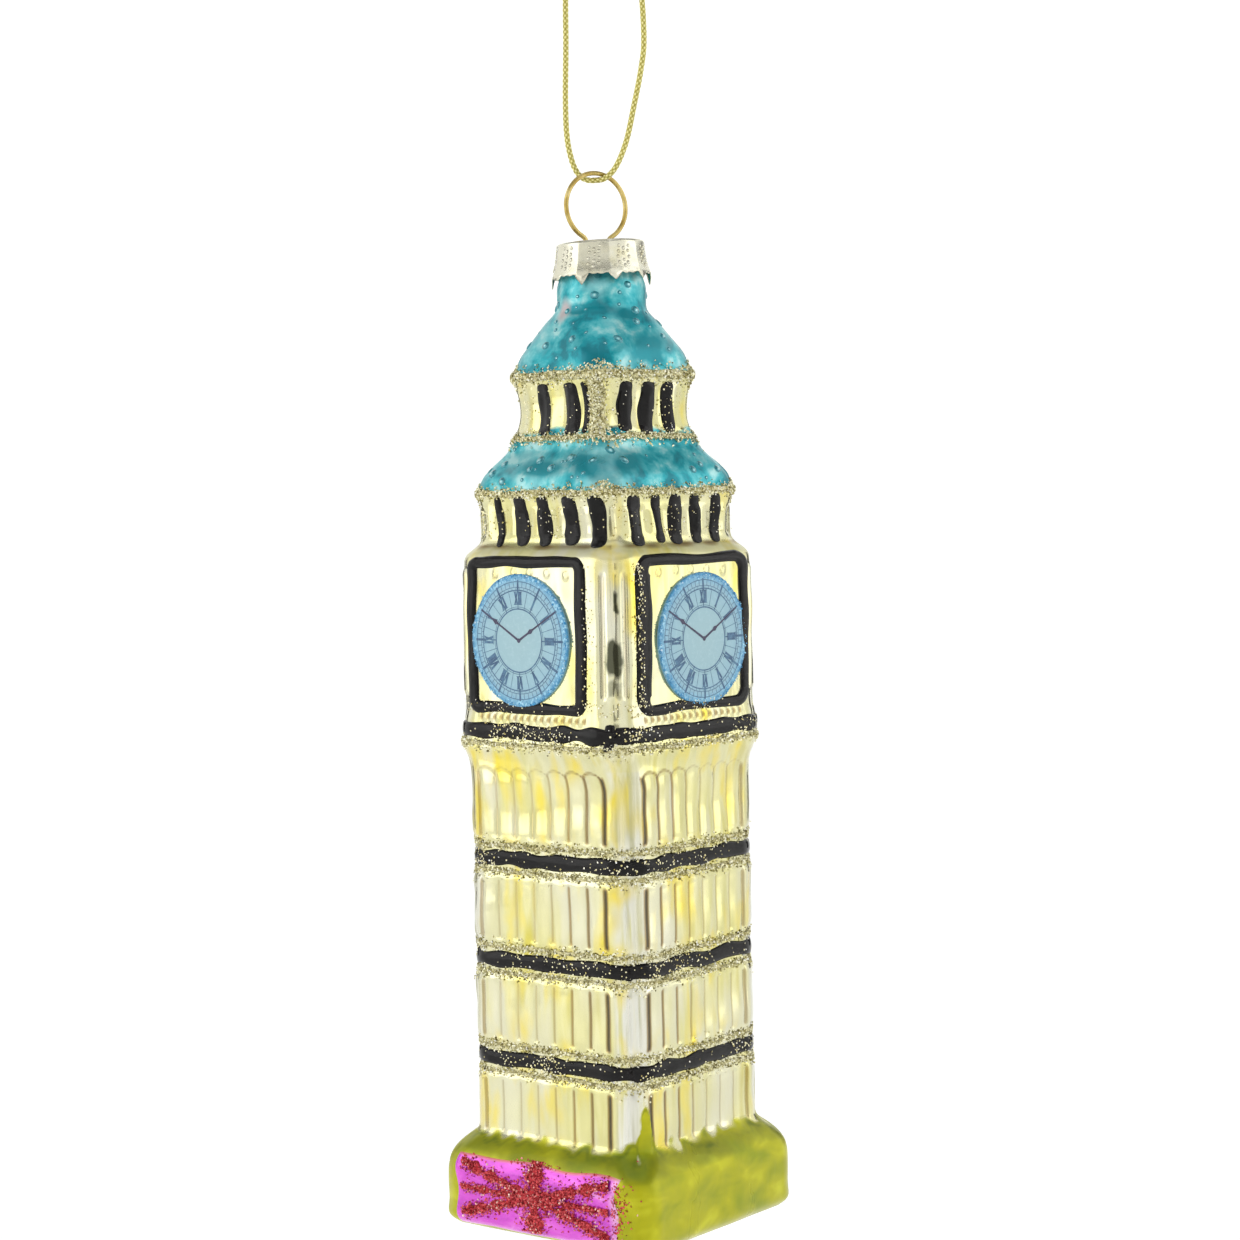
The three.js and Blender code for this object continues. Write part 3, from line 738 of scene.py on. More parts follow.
def deep_teal(side, s, height, reach):
    """Where the teal lacquer lies thick on the two sides at the near corner."""
    across = np.where(side == 0, s - reach, s + reach)
    deep = 0.0
    for centre, middle, half_width, half_height in DEEP_PATCHES:
        far = ((across - centre) / half_width) ** 2 + ((height - middle) / half_height) ** 2
        deep = np.maximum(deep, np.exp(-far))
    return deep * (side < 2)


def glass_marks(side, s, height, reach):
    """Where the glass is teal, lime, silvery or marked, each as a share from 0 to 1; painted shade
    lies at the shaft's foot, in the grooves and on the shoulder, and a painted dark reflection on
    the near corner.
    """
    spread = unrolled(side, s, height)
    from_corner = reach - np.abs(s)
    climb = LANTERN_FOOT[1] + 0.25 + 0.35 * waves(spread, 3.0, 19)
    lower_roof = smooth_step(height, EAVE[0] + 0.5, EAVE[0] + 0.9)
    lower_roof = lower_roof * smooth_step(height, climb + 0.2, climb - 0.2)
    upper_roof = smooth_step(height, ROOF_EDGE[0] + 1.0, ROOF_EDGE[0] + 1.4)

    spill = SHAFT_FOOT + 0.2 + 0.55 * waves(spread, 1.6, 11)
    spill = spill + 1.6 * np.clip(waves(spread, 5.0, 12) - 0.9, 0, 1)
    spill = spill + 6.5 * hump(s, -12.7, 1.1) * (side == 1)
    shade = smooth_step(height, 8.6, 10.6) * smooth_step(height, 14.5, 12.0)
    shade = np.maximum(shade, 1.25 * hump(height, spill - 0.9, 0.7))
    shade = shade * (0.6 + ribs(side, s, height)[0])

    edges = hump(height, COVE_FOOT + 1.1, 1.4)
    for foot, top in TIERS:
        edges = edges + hump(height, foot, 1.1) + hump(height, top, 1.6)
    shoulder = hump(height, CLOCK_TOP + 1.2, 0.32)
    pool = np.clip(smooth_step(waves(spread, 8.0, 16), -0.6, 0.5) + 0.8 * edges, 0, 1)
    # Painted shade in the grooves, and a line of it along the shoulder above the clock storey.
    groove_shade = relief(side, s, height, reach)[1] + shoulder * (0.46 + 0.3 * waves(spread, 2.0, 18))
    silver = smooth_step(from_corner, 3.2, 1.8) * smooth_step(height, 95, 90)
    blur = hump(from_corner, 0, 1.6) * hump(height, CLOCK_TOP + 0.8, 1.4)
    blur = blur + 0.8 * hump(height, CLOCK_TOP + 0.4, 0.7)
    blur = blur + 0.6 * hump(from_corner, 0, 0.9) * (height < COVE_FOOT + 3)
    return {"teal": np.maximum(lower_roof, upper_roof),
            "deep": deep_teal(side, s, height, reach),
            "blush": hump(s, -0.7, 1.2) * hump(height, 127, 1.7) * (side == 0),
            "lime": smooth_step(height, spill + 0.25, spill - 0.35),
            "shade": shade,
            "pool": np.clip(pool + shoulder, 0, 1),
            "groove_shade": np.clip(groove_shade, 0, 1),
            "silver": silver * (1 - 0.4 * (height > COVE_FOOT)),
            "corner_reflection": corner_reflection_marks(side, s, height, reach),
            "blur": np.clip(blur, 0, 1)}


def make_glass():
    """The blown tower: underside, outside, rim of the neck and inside in one skin."""
    heights = np.arange(0.15, NECK_TOP - 0.1, ROW_STEP)
    side, s = around(heights, SIDE_COLUMNS)
    level = heights[:, None]
    outside = place(side, s, level)
    rim = [place(side, s[-1], NECK_TOP - drop, 0, True, inset) for inset, drop in
           ((0.15, 0.02), (0.5, 0.0), (0.85, 0.02))]
    inner_heights = np.arange(NECK_TOP - 0.4, 1.6, -2.0)
    inner_side, inner_s = around(inner_heights, SIDE_COLUMNS)
    inner = place(inner_side, inner_s * 0.98, inner_heights[:, None], 0, True, WALL)
    floor = [inner[-1] * [share, share, 1] - [0, 0, 0.3 * MM]
             for share in (0.93, 0.8, 0.6, 0.4, 0.2, 0.03)]
    under = []
    far = np.linalg.norm(outside[0, :, :2], axis=1, keepdims=True)
    for share in (0.03, 0.1, 0.16, 0.3, 0.5, 0.7, 0.86, 0.95):
        row = outside[0] * [share, share, 1]
        row[:, :2] *= 1 + (far.min() / far - 1) * smooth_step(share, 0.98, 0.4)
        row[:, 2] = UNDERSIDE + (0.25 * smooth_step(share, 0.9, 0.2) + 0.3 * (share < 0.12)) * MM
        under.append(row)
    rows = np.concatenate([np.stack(under), outside, np.stack(rim), inner, np.stack(floor)])
    count = rows.shape[1]
    unmarked = np.zeros((len(rim) + len(inner) + len(floor), count))
    marks = {}
    for key, values in glass_marks(side, s, level, reach_at(level)).items():
        values = np.broadcast_to(values, s.shape)
        marks[key] = np.concatenate([np.repeat(values[:1], len(under), axis=0), values, unmarked])
    make_piece("glass_tower", rows, tube_faces(len(rows), count), GLASS, "glass",
               ["glass_body"], marks)


# ---------------------------------------------------------------- enamel

LAYER_LIFT = 0.03


def ridge(across, height, power=0.5):
    """Cross-section of a bead of paint whose edges are at -1 and 1."""
    return height * np.clip(1 - across ** 2, 0, 1) ** power


def ring_bead(name, foot, top, height, wander, seed, material, replaced, rough=0.0):
    """A bead that runs right round the tower between two heights."""
    middle = (foot + top) / 2
    side, s = around(np.array([middle]), 150)
    s = s[0]
    run = s + SIDE_STEP * side
    across = np.linspace(-1, 1, 11)[:, None]
    centre = middle + wander * line_waves(run, 6.0, seed)
    width = (top - foot) / 2 * (1 + 0.10 * line_waves(run, 3.0, seed + 1))
    level = centre + across * width
    lift = LAYER_LIFT + ridge(across, height)
    if rough:
        spread = np.stack(np.broadcast_arrays(run, level), axis=-1)
        lift = lift + rough * waves(spread, 0.7, seed + 2) * (1 - across ** 2)
    lift = np.where(np.abs(across) == 1, -0.05, lift)
    points = place(side, s, level, lift)
    make_piece(name, points, grid_faces(*points.shape[:2], around=True), material, "glass",
               replaced)


def make_bands():
    for number, name in enumerate(("clock",) + BANDS):
        foot, top = levels(f"enamel_band_{name}")
        ring_bead(f"black_band_{name}", foot + 0.05, top - 0.05, 0.36, 0.12, 30 + 5 * number,
                  ENAMEL, [f"enamel_band_{name}"])


def make_band_joint():
    """The overlap at the near corner where the clock band's stroke starts and ends."""
    parts = Parts()
    foot, top = levels("enamel_band_clock")
    stripe(parts, 0, reach_at(foot) - 0.95, foot - 0.9, top + 0.5, 1.5, 360)
    parts.make("band_joint", ENAMEL, "glass", "black_enamel")


FRAME_STROKE = 1.6
FRAME_CORNER = 1.3
FRAME_BAR = 10.6
FRAME_STEPS = 260
# For each side: how far the frame stands aside, its half-width, and how much its left bar gains.
FRAME_SHAPES = ((-1.05, 11.1, 0.0), (0.45, 11.5, 0.6), (-0.4, 11.3, 0.0), (0.3, 11.4, 0.2))


def rounded_rectangle(half_width, half_height, radius, count):
    """Points and outward directions at even turns round a rectangle with rounded corners."""
    quarter, within = np.divmod(np.linspace(0, 4, count, endpoint=False), 1)
    turned = np.mod(quarter, 2) == 1
    reach = np.where(turned, half_height, half_width) - radius
    rise = np.where(turned, half_width, half_height) - radius
    bend = np.clip(2 * within - 1, 0, 1) * math.pi / 2
    x = reach + radius * np.cos(bend)
    y = np.where(within < 0.5, (4 * within - 1) * rise, rise + radius * np.sin(bend))
    cos, sin = np.cos(quarter * math.pi / 2), np.sin(quarter * math.pi / 2)
    points = np.stack([x * cos - y * sin, x * sin + y * cos], axis=-1)
    ways = np.stack([np.cos(bend) * cos - np.sin(bend) * sin,
                     np.cos(bend) * sin + np.sin(bend) * cos], axis=-1)
    return points, ways


def make_frames():
    """A raised black line round each clock, thick at its corners as brushed enamel is."""
    half_height = (CLOCK_TOP - CLOCK_FOOT) / 2
    inset = FRAME_STROKE / 2
    across = np.linspace(-1, 1, 11)[:, None]
    profile = np.where(np.abs(across) == 1, -0.05, LAYER_LIFT + ridge(across, 0.42))
    faces = grid_faces(len(across), FRAME_STEPS, around=True)
    for number, (name, (aside, half_width, near_bar)) in enumerate(zip(SIDES, FRAME_SHAPES)):
        points, ways = rounded_rectangle(half_width - inset, half_height - inset,
                                         FRAME_CORNER + near_bar, FRAME_STEPS)
        broad = np.clip(-ways[:, 0], 0, 1) * near_bar
        uneven = 1.0 + 0.3 * np.abs(ways[:, 0]) + 0.10 * waves(points, 4.0, 60 + number)
        shift = 0.10 * waves(points, 6.0, 70 + number) - broad
        outwards = across * (inset * uneven + broad) + shift
        s = aside + points[:, 0] + ways[:, 0] * outwards
        level = CLOCK_CENTRE + points[:, 1] + ways[:, 1] * outwards
        make_piece(f"clock_surround_{name}", place(number, s, level, profile), faces, ENAMEL,
                   "glass", [f"clock_frame_{name}"])


def stripe(parts, side, s, foot, top, width, seed):
    """One brushed upright stripe with round ends and unsteady edges."""
    along = np.linspace(0, 1, 40)[:, None]
    across = np.linspace(-1, 1, 9)[None, :]
    level = foot + (top - foot) * along
    ends = np.clip(1 - np.abs(along * 2 - 1) ** 14, 0, 1) ** 0.5
    sway = 0.16 * line_waves(level, 5.0, seed)
    thick = width / 2 * ends * (1 + 0.08 * line_waves(level, 2.6, seed + 1))
    spot = s + sway + across * thick
    lift = np.where(np.abs(across) == 1, -0.04, LAYER_LIFT + ridge(across, 0.26) * ends)
    points = place(side, spot, level, lift)
    parts.add(points, grid_faces(*points.shape[:2]))


# Stripes of each side as (distance from the middle, width).
EVEN_BELFRY = ((-9.3, 2.2), (-4.6, 2.3), (0.1, 2.1), (4.7, 2.4), (9.2, 2.2))
EVEN_LANTERN = ((-4.3, 2.4), (0.1, 2.3), (4.2, 2.5))
BELFRY_STRIPES = (((-7.3, 1.4), (-3.0, 2.5), (1.3, 2.5), (6.3, 2.6), (11.0, 2.4)),
                  ((-8.3, 2.8), (-4.0, 1.8), (-0.5, 2.6), (3.6, 2.1), (7.7, 2.0)),
                  EVEN_BELFRY, EVEN_BELFRY)
LANTERN_STRIPES = (((-1.5, 2.7), (3.9, 3.0), (6.5, 1.1)), ((-4.7, 2.6), (-0.7, 2.8), (3.3, 2.2)),
                   EVEN_LANTERN, EVEN_LANTERN)


def make_stripes():
    for name, rows, foot, top, seed in (
            ("belfry_stripes", BELFRY_STRIPES, BELFRY[0] - 0.9, BELFRY[1] + 1.5, 200),
            ("lantern_stripes", LANTERN_STRIPES, LANTERN[0] - 0.3, LANTERN[1] + 0.1, 300)):
        parts = Parts()
        for side, row in enumerate(rows):
            for number, (s, width) in enumerate(row):
                start = foot + random.normal(0, 0.12)
                stripe(parts, side, s, start, top, width, seed + 10 * side + number)
        parts.make(name, ENAMEL, "glass", "black_enamel")


# ---------------------------------------------------------------- glitter

FLAKE_RIM = np.arange(6) * math.pi / 3
FLAKE_FACES = np.array([[i, (i + 1) % 6, 6] for i in range(6)]
                       + [[(i + 1) % 6, i, 7] for i in range(6)])


def scatter(side, s, height, lift, bare=False):
    """Places for flakes: a point in metres and the way out of the tower there."""
    way = outward(*np.broadcast_arrays(side, s, height))
    return np.concatenate([place(side, s, height, lift, bare), way], axis=-1).reshape(-1, 6)


def make_flakes(name, spots, size, material, tilt=0.9):
    """Six-sided flakes, each turned its own way; a small tilt lays them flat on the surface."""
    spots = np.concatenate(spots)
    count = len(spots)
    centre, way = spots[:, :3], spots[:, 3:] + tilt * random.normal(size=(count, 3))
    way /= np.linalg.norm(way, axis=1, keepdims=True)
    first = np.cross(way, random.normal(size=(count, 3)))
    first /= np.linalg.norm(first, axis=1, keepdims=True)
    second = np.cross(way, first)
    radius = size * MM * random.uniform(0.6, 1.25, count)[:, None, None]
    rim = (first[:, None] * np.cos(FLAKE_RIM)[None, :, None]
           + second[:, None] * np.sin(FLAKE_RIM)[None, :, None])
    tips = np.stack([way, -way], axis=1) * 0.28
    points = centre[:, None] + radius * np.concatenate([rim, tips], axis=1)
    faces = FLAKE_FACES[None] + (np.arange(count) * 8)[:, None, None]
    make_piece(name, points, faces.reshape(-1, 3).tolist(), material, "glass",
               smooth=False)


def ring_spots(foot, top, density, lift, seed):
    """Random places in a ragged band right round the tower, heaped at its corners."""
    middle, width = (foot + top) / 2, top - foot
    reach = reach_at(middle)
    count = int(8 * reach * width * density)
    side = random.integers(0, 4, count)
    s = random.uniform(-reach, reach, count)
    ragged = 1 + 0.35 * line_waves(s + SIDE_STEP * side, 1.2, 400 + seed)
    level = middle + width / 2 * ragged * np.clip(random.normal(0, 0.60, count), -1.4, 1.4)
    across = np.clip((level - middle) / (width / 2), -1, 1)
    heap = LAYER_LIFT + lift * np.sqrt(1 - across ** 2) + random.uniform(0, 0.08, count)
    blobs = int(width * 30)
    offset = random.normal(0, 1.1, 4 * blobs)
    drop = np.clip(random.normal(-0.25, 0.5, 4 * blobs), -1.5, 1) * width
    corner_side, corner_s = past_corner(np.repeat(np.arange(4), blobs), offset, middle)
    blob = scatter(corner_side, corner_s, middle + drop,
                   LAYER_LIFT + random.uniform(0, 0.2, 4 * blobs))
    return np.concatenate([scatter(side, s, level, heap), blob])


def speck_spots(foot, top, count, lift):
    """Stray flakes that fell in clusters on a neighbouring layer."""
    reach = reach_at((foot + top) / 2)
    clusters = random.uniform(-1, 1, (4, 3)) * reach
    clusters[1, 0] = -0.8 * reach  # One of them always lies by the near corner.
    side = random.integers(0, 4, count)
    centre = clusters[side, random.integers(0, 3, count)]
    s = np.where(random.random(count) < 0.2, random.uniform(-reach, reach, count),
                 centre + random.normal(0, 0.13 * reach, count))
    inside = np.abs(s) < reach
    height = random.uniform(foot, top, count)
    return scatter(side[inside], s[inside], height[inside], lift)


def make_gold_glitter():
    """Lines of paste and flakes round the tower, and specks on the enamel beside them."""
    lines = [("glitter_clock_foot", 0.20)]
    lines += [(f"glitter_{band}_{end}", 0.16) for band in BANDS for end in ("foot", "top")]
    lines += [("glitter_eave", 0.26), ("glitter_lantern_foot", 0.22), ("glitter_lantern_top", 0.26)]
    spots = []
    for number, (node, height) in enumerate(lines):
        foot, top = levels(node)
        name = node.replace("glitter", "gold_line")
        ring_bead(name, foot + 0.25, top - 0.25, 0.8 * height, 0.12, 500 + 7 * number, GOLD_BED,
                  [node], rough=0.08)
        density = 18.0 if height > 0.2 else 15.0
        spots.append(ring_spots(foot - 0.15, top + 0.15, density, height, number))
    spots += [corner_spots(side) for side in PASTED_CORNERS]
    spots += [peak_spots(side) for side in range(4)]
    make_corner_bed()
    make_flakes("gold_flakes", spots, 0.155, GOLD_FLAKE)
    specks = []
    for name in ("clock",) + BANDS:
        foot, top = levels(f"enamel_band_{name}")
        specks.append(speck_spots(foot, top, 580 if name == "clock" else 430, 0.40))
    specks.append(speck_spots(*BELFRY, 460, 0.26))
    specks.append(speck_spots(*LANTERN, 300, 0.26))
    specks.append(speck_spots(CLOCK_FOOT, CLOCK_FOOT + 1.8, 420, 0.42))
    for side, s in enumerate((FRAME_BAR, -FRAME_BAR, FRAME_BAR, -FRAME_BAR)):
        count = 170 if side == 1 else 60
        level = random.uniform(CLOCK_FOOT + 1, CLOCK_TOP - 1, count)
        specks.append(scatter(side, s + random.normal(0, 0.45, count), level, 0.44))
    make_flakes("gold_specks", specks, 0.125, GOLD_SPECK, 0.35)


# The upright lines of glitter on the lantern: the sides before their corners, and how far
# they stand aside from those.
PASTED_CORNERS = (0, 2)
COLUMN_ASIDE = -0.5


def make_corner_bed():
    """Paste under the upright lines of glitter on two corners of the lantern."""
    parts = Parts()
    level = np.linspace(LANTERN_FOOT[1] - 0.5, ROOF_EDGE[0] + 0.5, 30)[:, None]
    across = np.linspace(-1, 1, 15)[None, :]
    lift = np.where(np.abs(across) == 1, -0.04, LAYER_LIFT + ridge(across, 0.2))
    for number in PASTED_CORNERS:
        aside = COLUMN_ASIDE + 1.25 * across + 0.12 * line_waves(level, 2.0, 560 + number)
        side, s = past_corner(number, aside, level)
        points = place(side, s, level, lift)
        parts.add(points, grid_faces(*points.shape[:2]))
    parts.make("lantern_corner_paste", GOLD_BED, "glass", "gold_glitter")


def corner_spots(number):
    """The thick upright line of glitter on a corner of the lantern."""
    foot, top = LANTERN_FOOT[1] - 0.4, ROOF_EDGE[0] + 0.4
    count = int((top - foot) * 2.8 * 28)
    level = random.uniform(foot, top, count)
    spread = np.clip(random.normal(0, 0.72, count), -1.5, 1.5)
    side, s = past_corner(number, COLUMN_ASIDE + spread, level)
    heap = 0.12 + 0.20 * hump(spread, 0, 0.9)
    return scatter(side, s, level, heap + random.uniform(0, 0.1, count))


def peak_spots(number):
    """Glitter heaped up over the corners at the edges of the two roofs."""
    spots = []
    for base, rise, spread in ((ROOF_EDGE[1], 1.3, 1.5), (EAVE[1], 0.9, 1.3)):
        aside = random.normal(0, spread, 110)
        level = base + random.uniform(-0.6, 1, 110) * rise * hump(aside, 0, spread)
        side, s = past_corner(number, aside, level)
        spots.append(scatter(side, s, level, 0.12))
    return np.concatenate(spots)


# ---------------------------------------------------------------- clocks

DIAL_LIFT = 0.48
DIAL_DOME = 0.05
DIAL_STEPS = 144
RIM_FLAKES = 380
DIAL_FOOT, DIAL_TOP = levels("dial_front")
DIAL_RADIUS = (DIAL_TOP - DIAL_FOOT) / 2 + 0.15
DIAL_CENTRE = (DIAL_TOP + DIAL_FOOT) / 2 - 0.25
# How far each dial was glued off the middle of its panel, across and upwards.
DIAL_OFFSETS = ((-1.8, -0.3), (2.05, -0.6), (-0.9, -0.2), (1.1, -0.3))
NUMERALS = ("XII", "I", "II", "III", "IV", "V", "VI", "VII", "VIII", "IX", "X", "XI")


def dial_place(number, across, up, lift):
    """A point of one dial, measured from the dial's own middle."""
    aside, rise = DIAL_OFFSETS[number]
    return place(number, aside + across, DIAL_CENTRE + rise + up, lift, bare=True)


def make_dial(number, name):
    """A slightly domed printed disc with an unsteady cut edge."""
    turns = full_turn(DIAL_STEPS)
    rings = np.array([0.002, 0.15, 0.3, 0.45, 0.6, 0.72, 0.82, 0.9, 0.95, 0.985, 1, 1])[:, None]
    drop = np.array([0, 0, 0, 0, 0, 0, 0, 0.01, 0.02, 0.05, 0.13, 0.5])[:, None]
    unsteady = 1 + 0.006 * line_waves(turns * 3, 2.0, 80 + number) * rings ** 4
    radius = DIAL_RADIUS * rings * unsteady
    points = dial_place(number, radius * np.cos(turns), radius * np.sin(turns),
                        DIAL_LIFT - drop + DIAL_DOME * (1 - rings ** 2))
    ring = np.broadcast_to(np.where(drop > 0.4, 0.84, rings), radius.shape)
    make_piece(f"clock_dial_{name}", points, disc_faces(*radius.shape), FACE, "glass",
               [f"dial_{name}"], {"ring": ring})


def clock_ways(turn):
    """Unit steps outwards and clockwise, at an angle from twelve o'clock."""
    out = np.array([math.sin(turn), math.cos(turn)])
    return out, np.array([out[1], -out[0]])


def circle_points(count):
    turns = full_turn(count)
    return np.stack([np.cos(turns), np.sin(turns)], axis=-1)


class Print:
    """Flat ink on one dial, drawn in shares of the dial's radius."""

    def __init__(self, side, lift):
        self.side, self.lift, self.parts = side, lift, Parts()

    def outline(self, points, faces):
        points = np.asarray(points, dtype=float) * DIAL_RADIUS
        far = np.linalg.norm(points, axis=1) / DIAL_RADIUS
        surface = DIAL_LIFT + DIAL_DOME * (1 - far ** 2) - 0.03 * smooth_step(far, 0.88, 0.97)
        placed = dial_place(self.side, points[:, 0], points[:, 1], surface + self.lift)
        self.parts.add(placed, faces)

    def stroke(self, start, end, width, end_width=None):
        """A straight stroke between two points, cut into short lengths."""
        along = end - start
        normal = np.array([-along[1], along[0]]) / np.linalg.norm(along)
        share = np.linspace(0, 1, 5)[:, None]
        half = (width + share * ((end_width or width) - width)) / 2
        middle = start + share * along
        points = np.stack([middle - normal * half, middle + normal * half], axis=1).reshape(-1, 2)
        self.outline(points, grid_faces(5, 2))

    def circle(self, radius, width):
        rim = circle_points(120)
        points = np.concatenate([rim * (radius - width / 2), rim * (radius + width / 2)])
        self.outline(points, grid_faces(2, 120, around=True))

    def radial(self, turn, inner, outer, width, aside=0.0, lean=0.0):
        """A stroke from an inner to an outer radius, shifted or leaning sideways."""
        out, across = clock_ways(turn)
        start = out * inner + across * (aside - lean)
        self.stroke(start, out * outer + across * (aside + lean), width)


# For each letter of a numeral: its width, and its strokes as (aside, lean, share of the width).
LETTERS = {"I": (0.038, ((0, 0, 1),)),
           "V": (0.070, ((-0.016, -0.016, 1), (0.016, 0.016, 0.7))),
           "X": (0.076, ((0, -0.026, 1), (0, 0.026, 0.7)))}


def draw_numeral(sheet, turn, text):
    """A Roman numeral that stands on the inner ring, in strokes between two serifs."""
    inner, outer, width = 0.54, 0.73, 0.037
    cursor = -sum(LETTERS[letter][0] for letter in text) / 2
    for letter in text:
        advance, strokes = LETTERS[letter]
        for aside, lean, share in strokes:
            sheet.radial(turn, inner, outer, width * share, cursor + advance / 2 + aside, lean)
        cursor += advance
    out, across = clock_ways(turn)
    for radius in (inner, outer):
        reach = across * (abs(cursor) + 0.012)
        sheet.stroke(out * radius - reach, out * radius + reach, 0.010)


def make_print(number, name):
    """Rings, numerals and ticks."""
    sheet = Print(number, 0.012)
    for radius, width in ((0.475, 0.020), (0.505, 0.009), (0.755, 0.018), (0.80, 0.010),
                          (0.885, 0.012)):
        sheet.circle(radius, width)
    for hour, text in enumerate(NUMERALS):
        turn = hour * math.pi / 6
        draw_numeral(sheet, turn, text)
        sheet.radial(turn, 0.48, 0.55, 0.016)
        sheet.radial(turn, 0.72, 0.91, 0.036)
        sheet.radial(turn + math.pi / 12, 0.48, 0.74, 0.009)
    for minute in range(60):
        turn = minute * math.pi / 30
        sheet.radial(turn, 0.805, 0.88, 0.010)
        sheet.radial(turn + math.pi / 60, 0.765, 0.79, 0.009)
    sheet.parts.make(f"dial_marks_{name}", FACE_INK, "glass", "dial_print")


def make_hands(number, name):
    """Two hands with a lozenge on each, at ten past ten."""
    sheet = Print(number, 0.03)
    for degrees, length, lozenge in ((60, 0.88, 0.28), (-60, 0.90, 0.55)):
        out, across = clock_ways(math.radians(degrees))
        sheet.stroke(out * -0.02, out * length, 0.038, 0.016)
        diamond = [out * (lozenge - 0.09), out * lozenge + across * 0.038,
                   out * (lozenge + 0.10), out * lozenge - across * 0.038]
        sheet.outline(diamond, [[3, 2, 1, 0]])
    sheet.outline(circle_points(24) * 0.035, [list(range(24))])
    sheet.parts.make(f"dial_hands_{name}", HAND_INK, "glass", "dial_print")


def make_rim_glitter():
    """Blue flakes set in the rims of the dials."""
    spots = []
    for number, (aside, rise) in enumerate(DIAL_OFFSETS):
        turns = random.uniform(0, 2 * math.pi, RIM_FLAKES)
        radius = DIAL_RADIUS * (1 - np.abs(random.normal(0, 0.045, RIM_FLAKES)))
        spots.append(scatter(number, aside + radius * np.cos(turns),
                             DIAL_CENTRE + rise + radius * np.sin(turns),
                             DIAL_LIFT + random.uniform(-0.05, 0.04, RIM_FLAKES), bare=True))
    make_flakes("dial_rim_flakes", spots, 0.13, BLUE_FLAKE)


# ---------------------------------------------------------------- base

FLAG_LOW, FLAG_HIGH = levels("flag_glitter")
FLAG_MIDDLE = (FLAG_LOW + FLAG_HIGH) / 2
FLAG_ASIDE = -0.5
PANEL_LEFT, PANEL_RIGHT = -14.6, 13.9
PANEL_FOOT, PANEL_TOP = 0.4, 10.5


def make_panel():
    """Magenta paint on the front of the base, with a thin rusty line along its top."""
    rows, count = 40, 120
    along = np.linspace(0, 1, count)[None, :]
    up = np.linspace(0, 1, rows)[:, None]
    top = PANEL_TOP + 0.25 * line_waves(along * 27, 5.0, 90)
    foot = PANEL_FOOT + 0.15 * line_waves(along * 27, 5.0, 91)
    left = PANEL_LEFT + 0.25 * line_waves(up * 9, 3.0, 92)
    right = PANEL_RIGHT + 0.30 * line_waves(up * 9, 3.0, 93)
    s = left + (right - left) * along
    level = foot + (top - foot) * up
    border = np.minimum(np.minimum(along, 1 - along) * 27, np.minimum(up, 1 - up) * 9)
    edge = np.broadcast_to(smooth_step(level, top - 0.9, top - 0.1), s.shape)
    points = place(0, s, level, -0.03 + 0.09 * smooth_step(border, 0, 0.35))
    make_piece("flag_field", points, grid_faces(rows, count), MAGENTA, "glass",
               (), {"edge": edge, "worn": smooth_step(s, 11.4, 13.6)})


def on_arm(start, end, share, aside):
    """Distance s and height of a spot on an arm of the motif, `aside` from its middle line."""
    run = end - start
    normal = np.array([-run[1], run[0]]) / np.linalg.norm(run)
    return (FLAG_ASIDE + start[0] + share * run[0] + normal[0] * aside,
            FLAG_MIDDLE + start[1] + share * run[1] + normal[1] * aside)


def make_flag():
    """Red glitter laid over the motif: an upright, a level bar and a saltire."""
    reach, rise = 13.0, (FLAG_HIGH - FLAG_LOW) / 2
    arms = [((0, -rise - 1.2), (0, rise + 1.5), 3.8), ((-reach, 0), (reach, 0), 1.3)]
    arms += [((-reach, sign * rise), (reach, -sign * rise), 1.9) for sign in (-1, 1)]
    across = np.linspace(-1, 1, 9)[None, :]
    lift = np.where(np.abs(across) == 1, 0.0, 0.08 + ridge(across, 0.26))
    bed, spots = Parts(), []
    for number, (start, end, width) in enumerate(arms):
        start, end = np.array(start, dtype=float), np.array(end, dtype=float)
        length = np.linalg.norm(end - start)
        steps = max(12, int(length / 0.4))
        along = np.linspace(0, 1, steps)[:, None]
        half = width / 2 * (0.66 + 0.22 * line_waves(along * length, 1.6, 110 + number))
        points = place(0, *on_arm(start, end, along, across * half), lift)
        bed.add(points, grid_faces(*points.shape[:2]))
        count = int(length * width * 20)
        share = random.uniform(0, 1, count)
        aside = np.clip(random.normal(0, 0.66, count), -2.0, 2.0) * width / 2
        heap = 0.10 + 0.28 * np.sqrt(np.clip(1 - (2 * aside / width) ** 2, 0, 1))
        spots.append(scatter(0, *on_arm(start, end, share, aside),
                             heap + random.uniform(0, 0.08, count)))
    bed.make("flag_bed", RED_BED, "glass", "red_glitter", ["flag_glitter"])
    stray = 170
    spots.append(scatter(0, random.uniform(-13, 14, stray), random.uniform(1.5, 10.5, stray), 0.08))
    far = 13 + np.abs(random.normal(0, 1.6, stray))
    spots.append(scatter(0, far, FLAG_MIDDLE + random.normal(0, 2.2, stray), 0.08))
    make_flakes("red_flakes", spots, 0.155, RED_FLAKE)


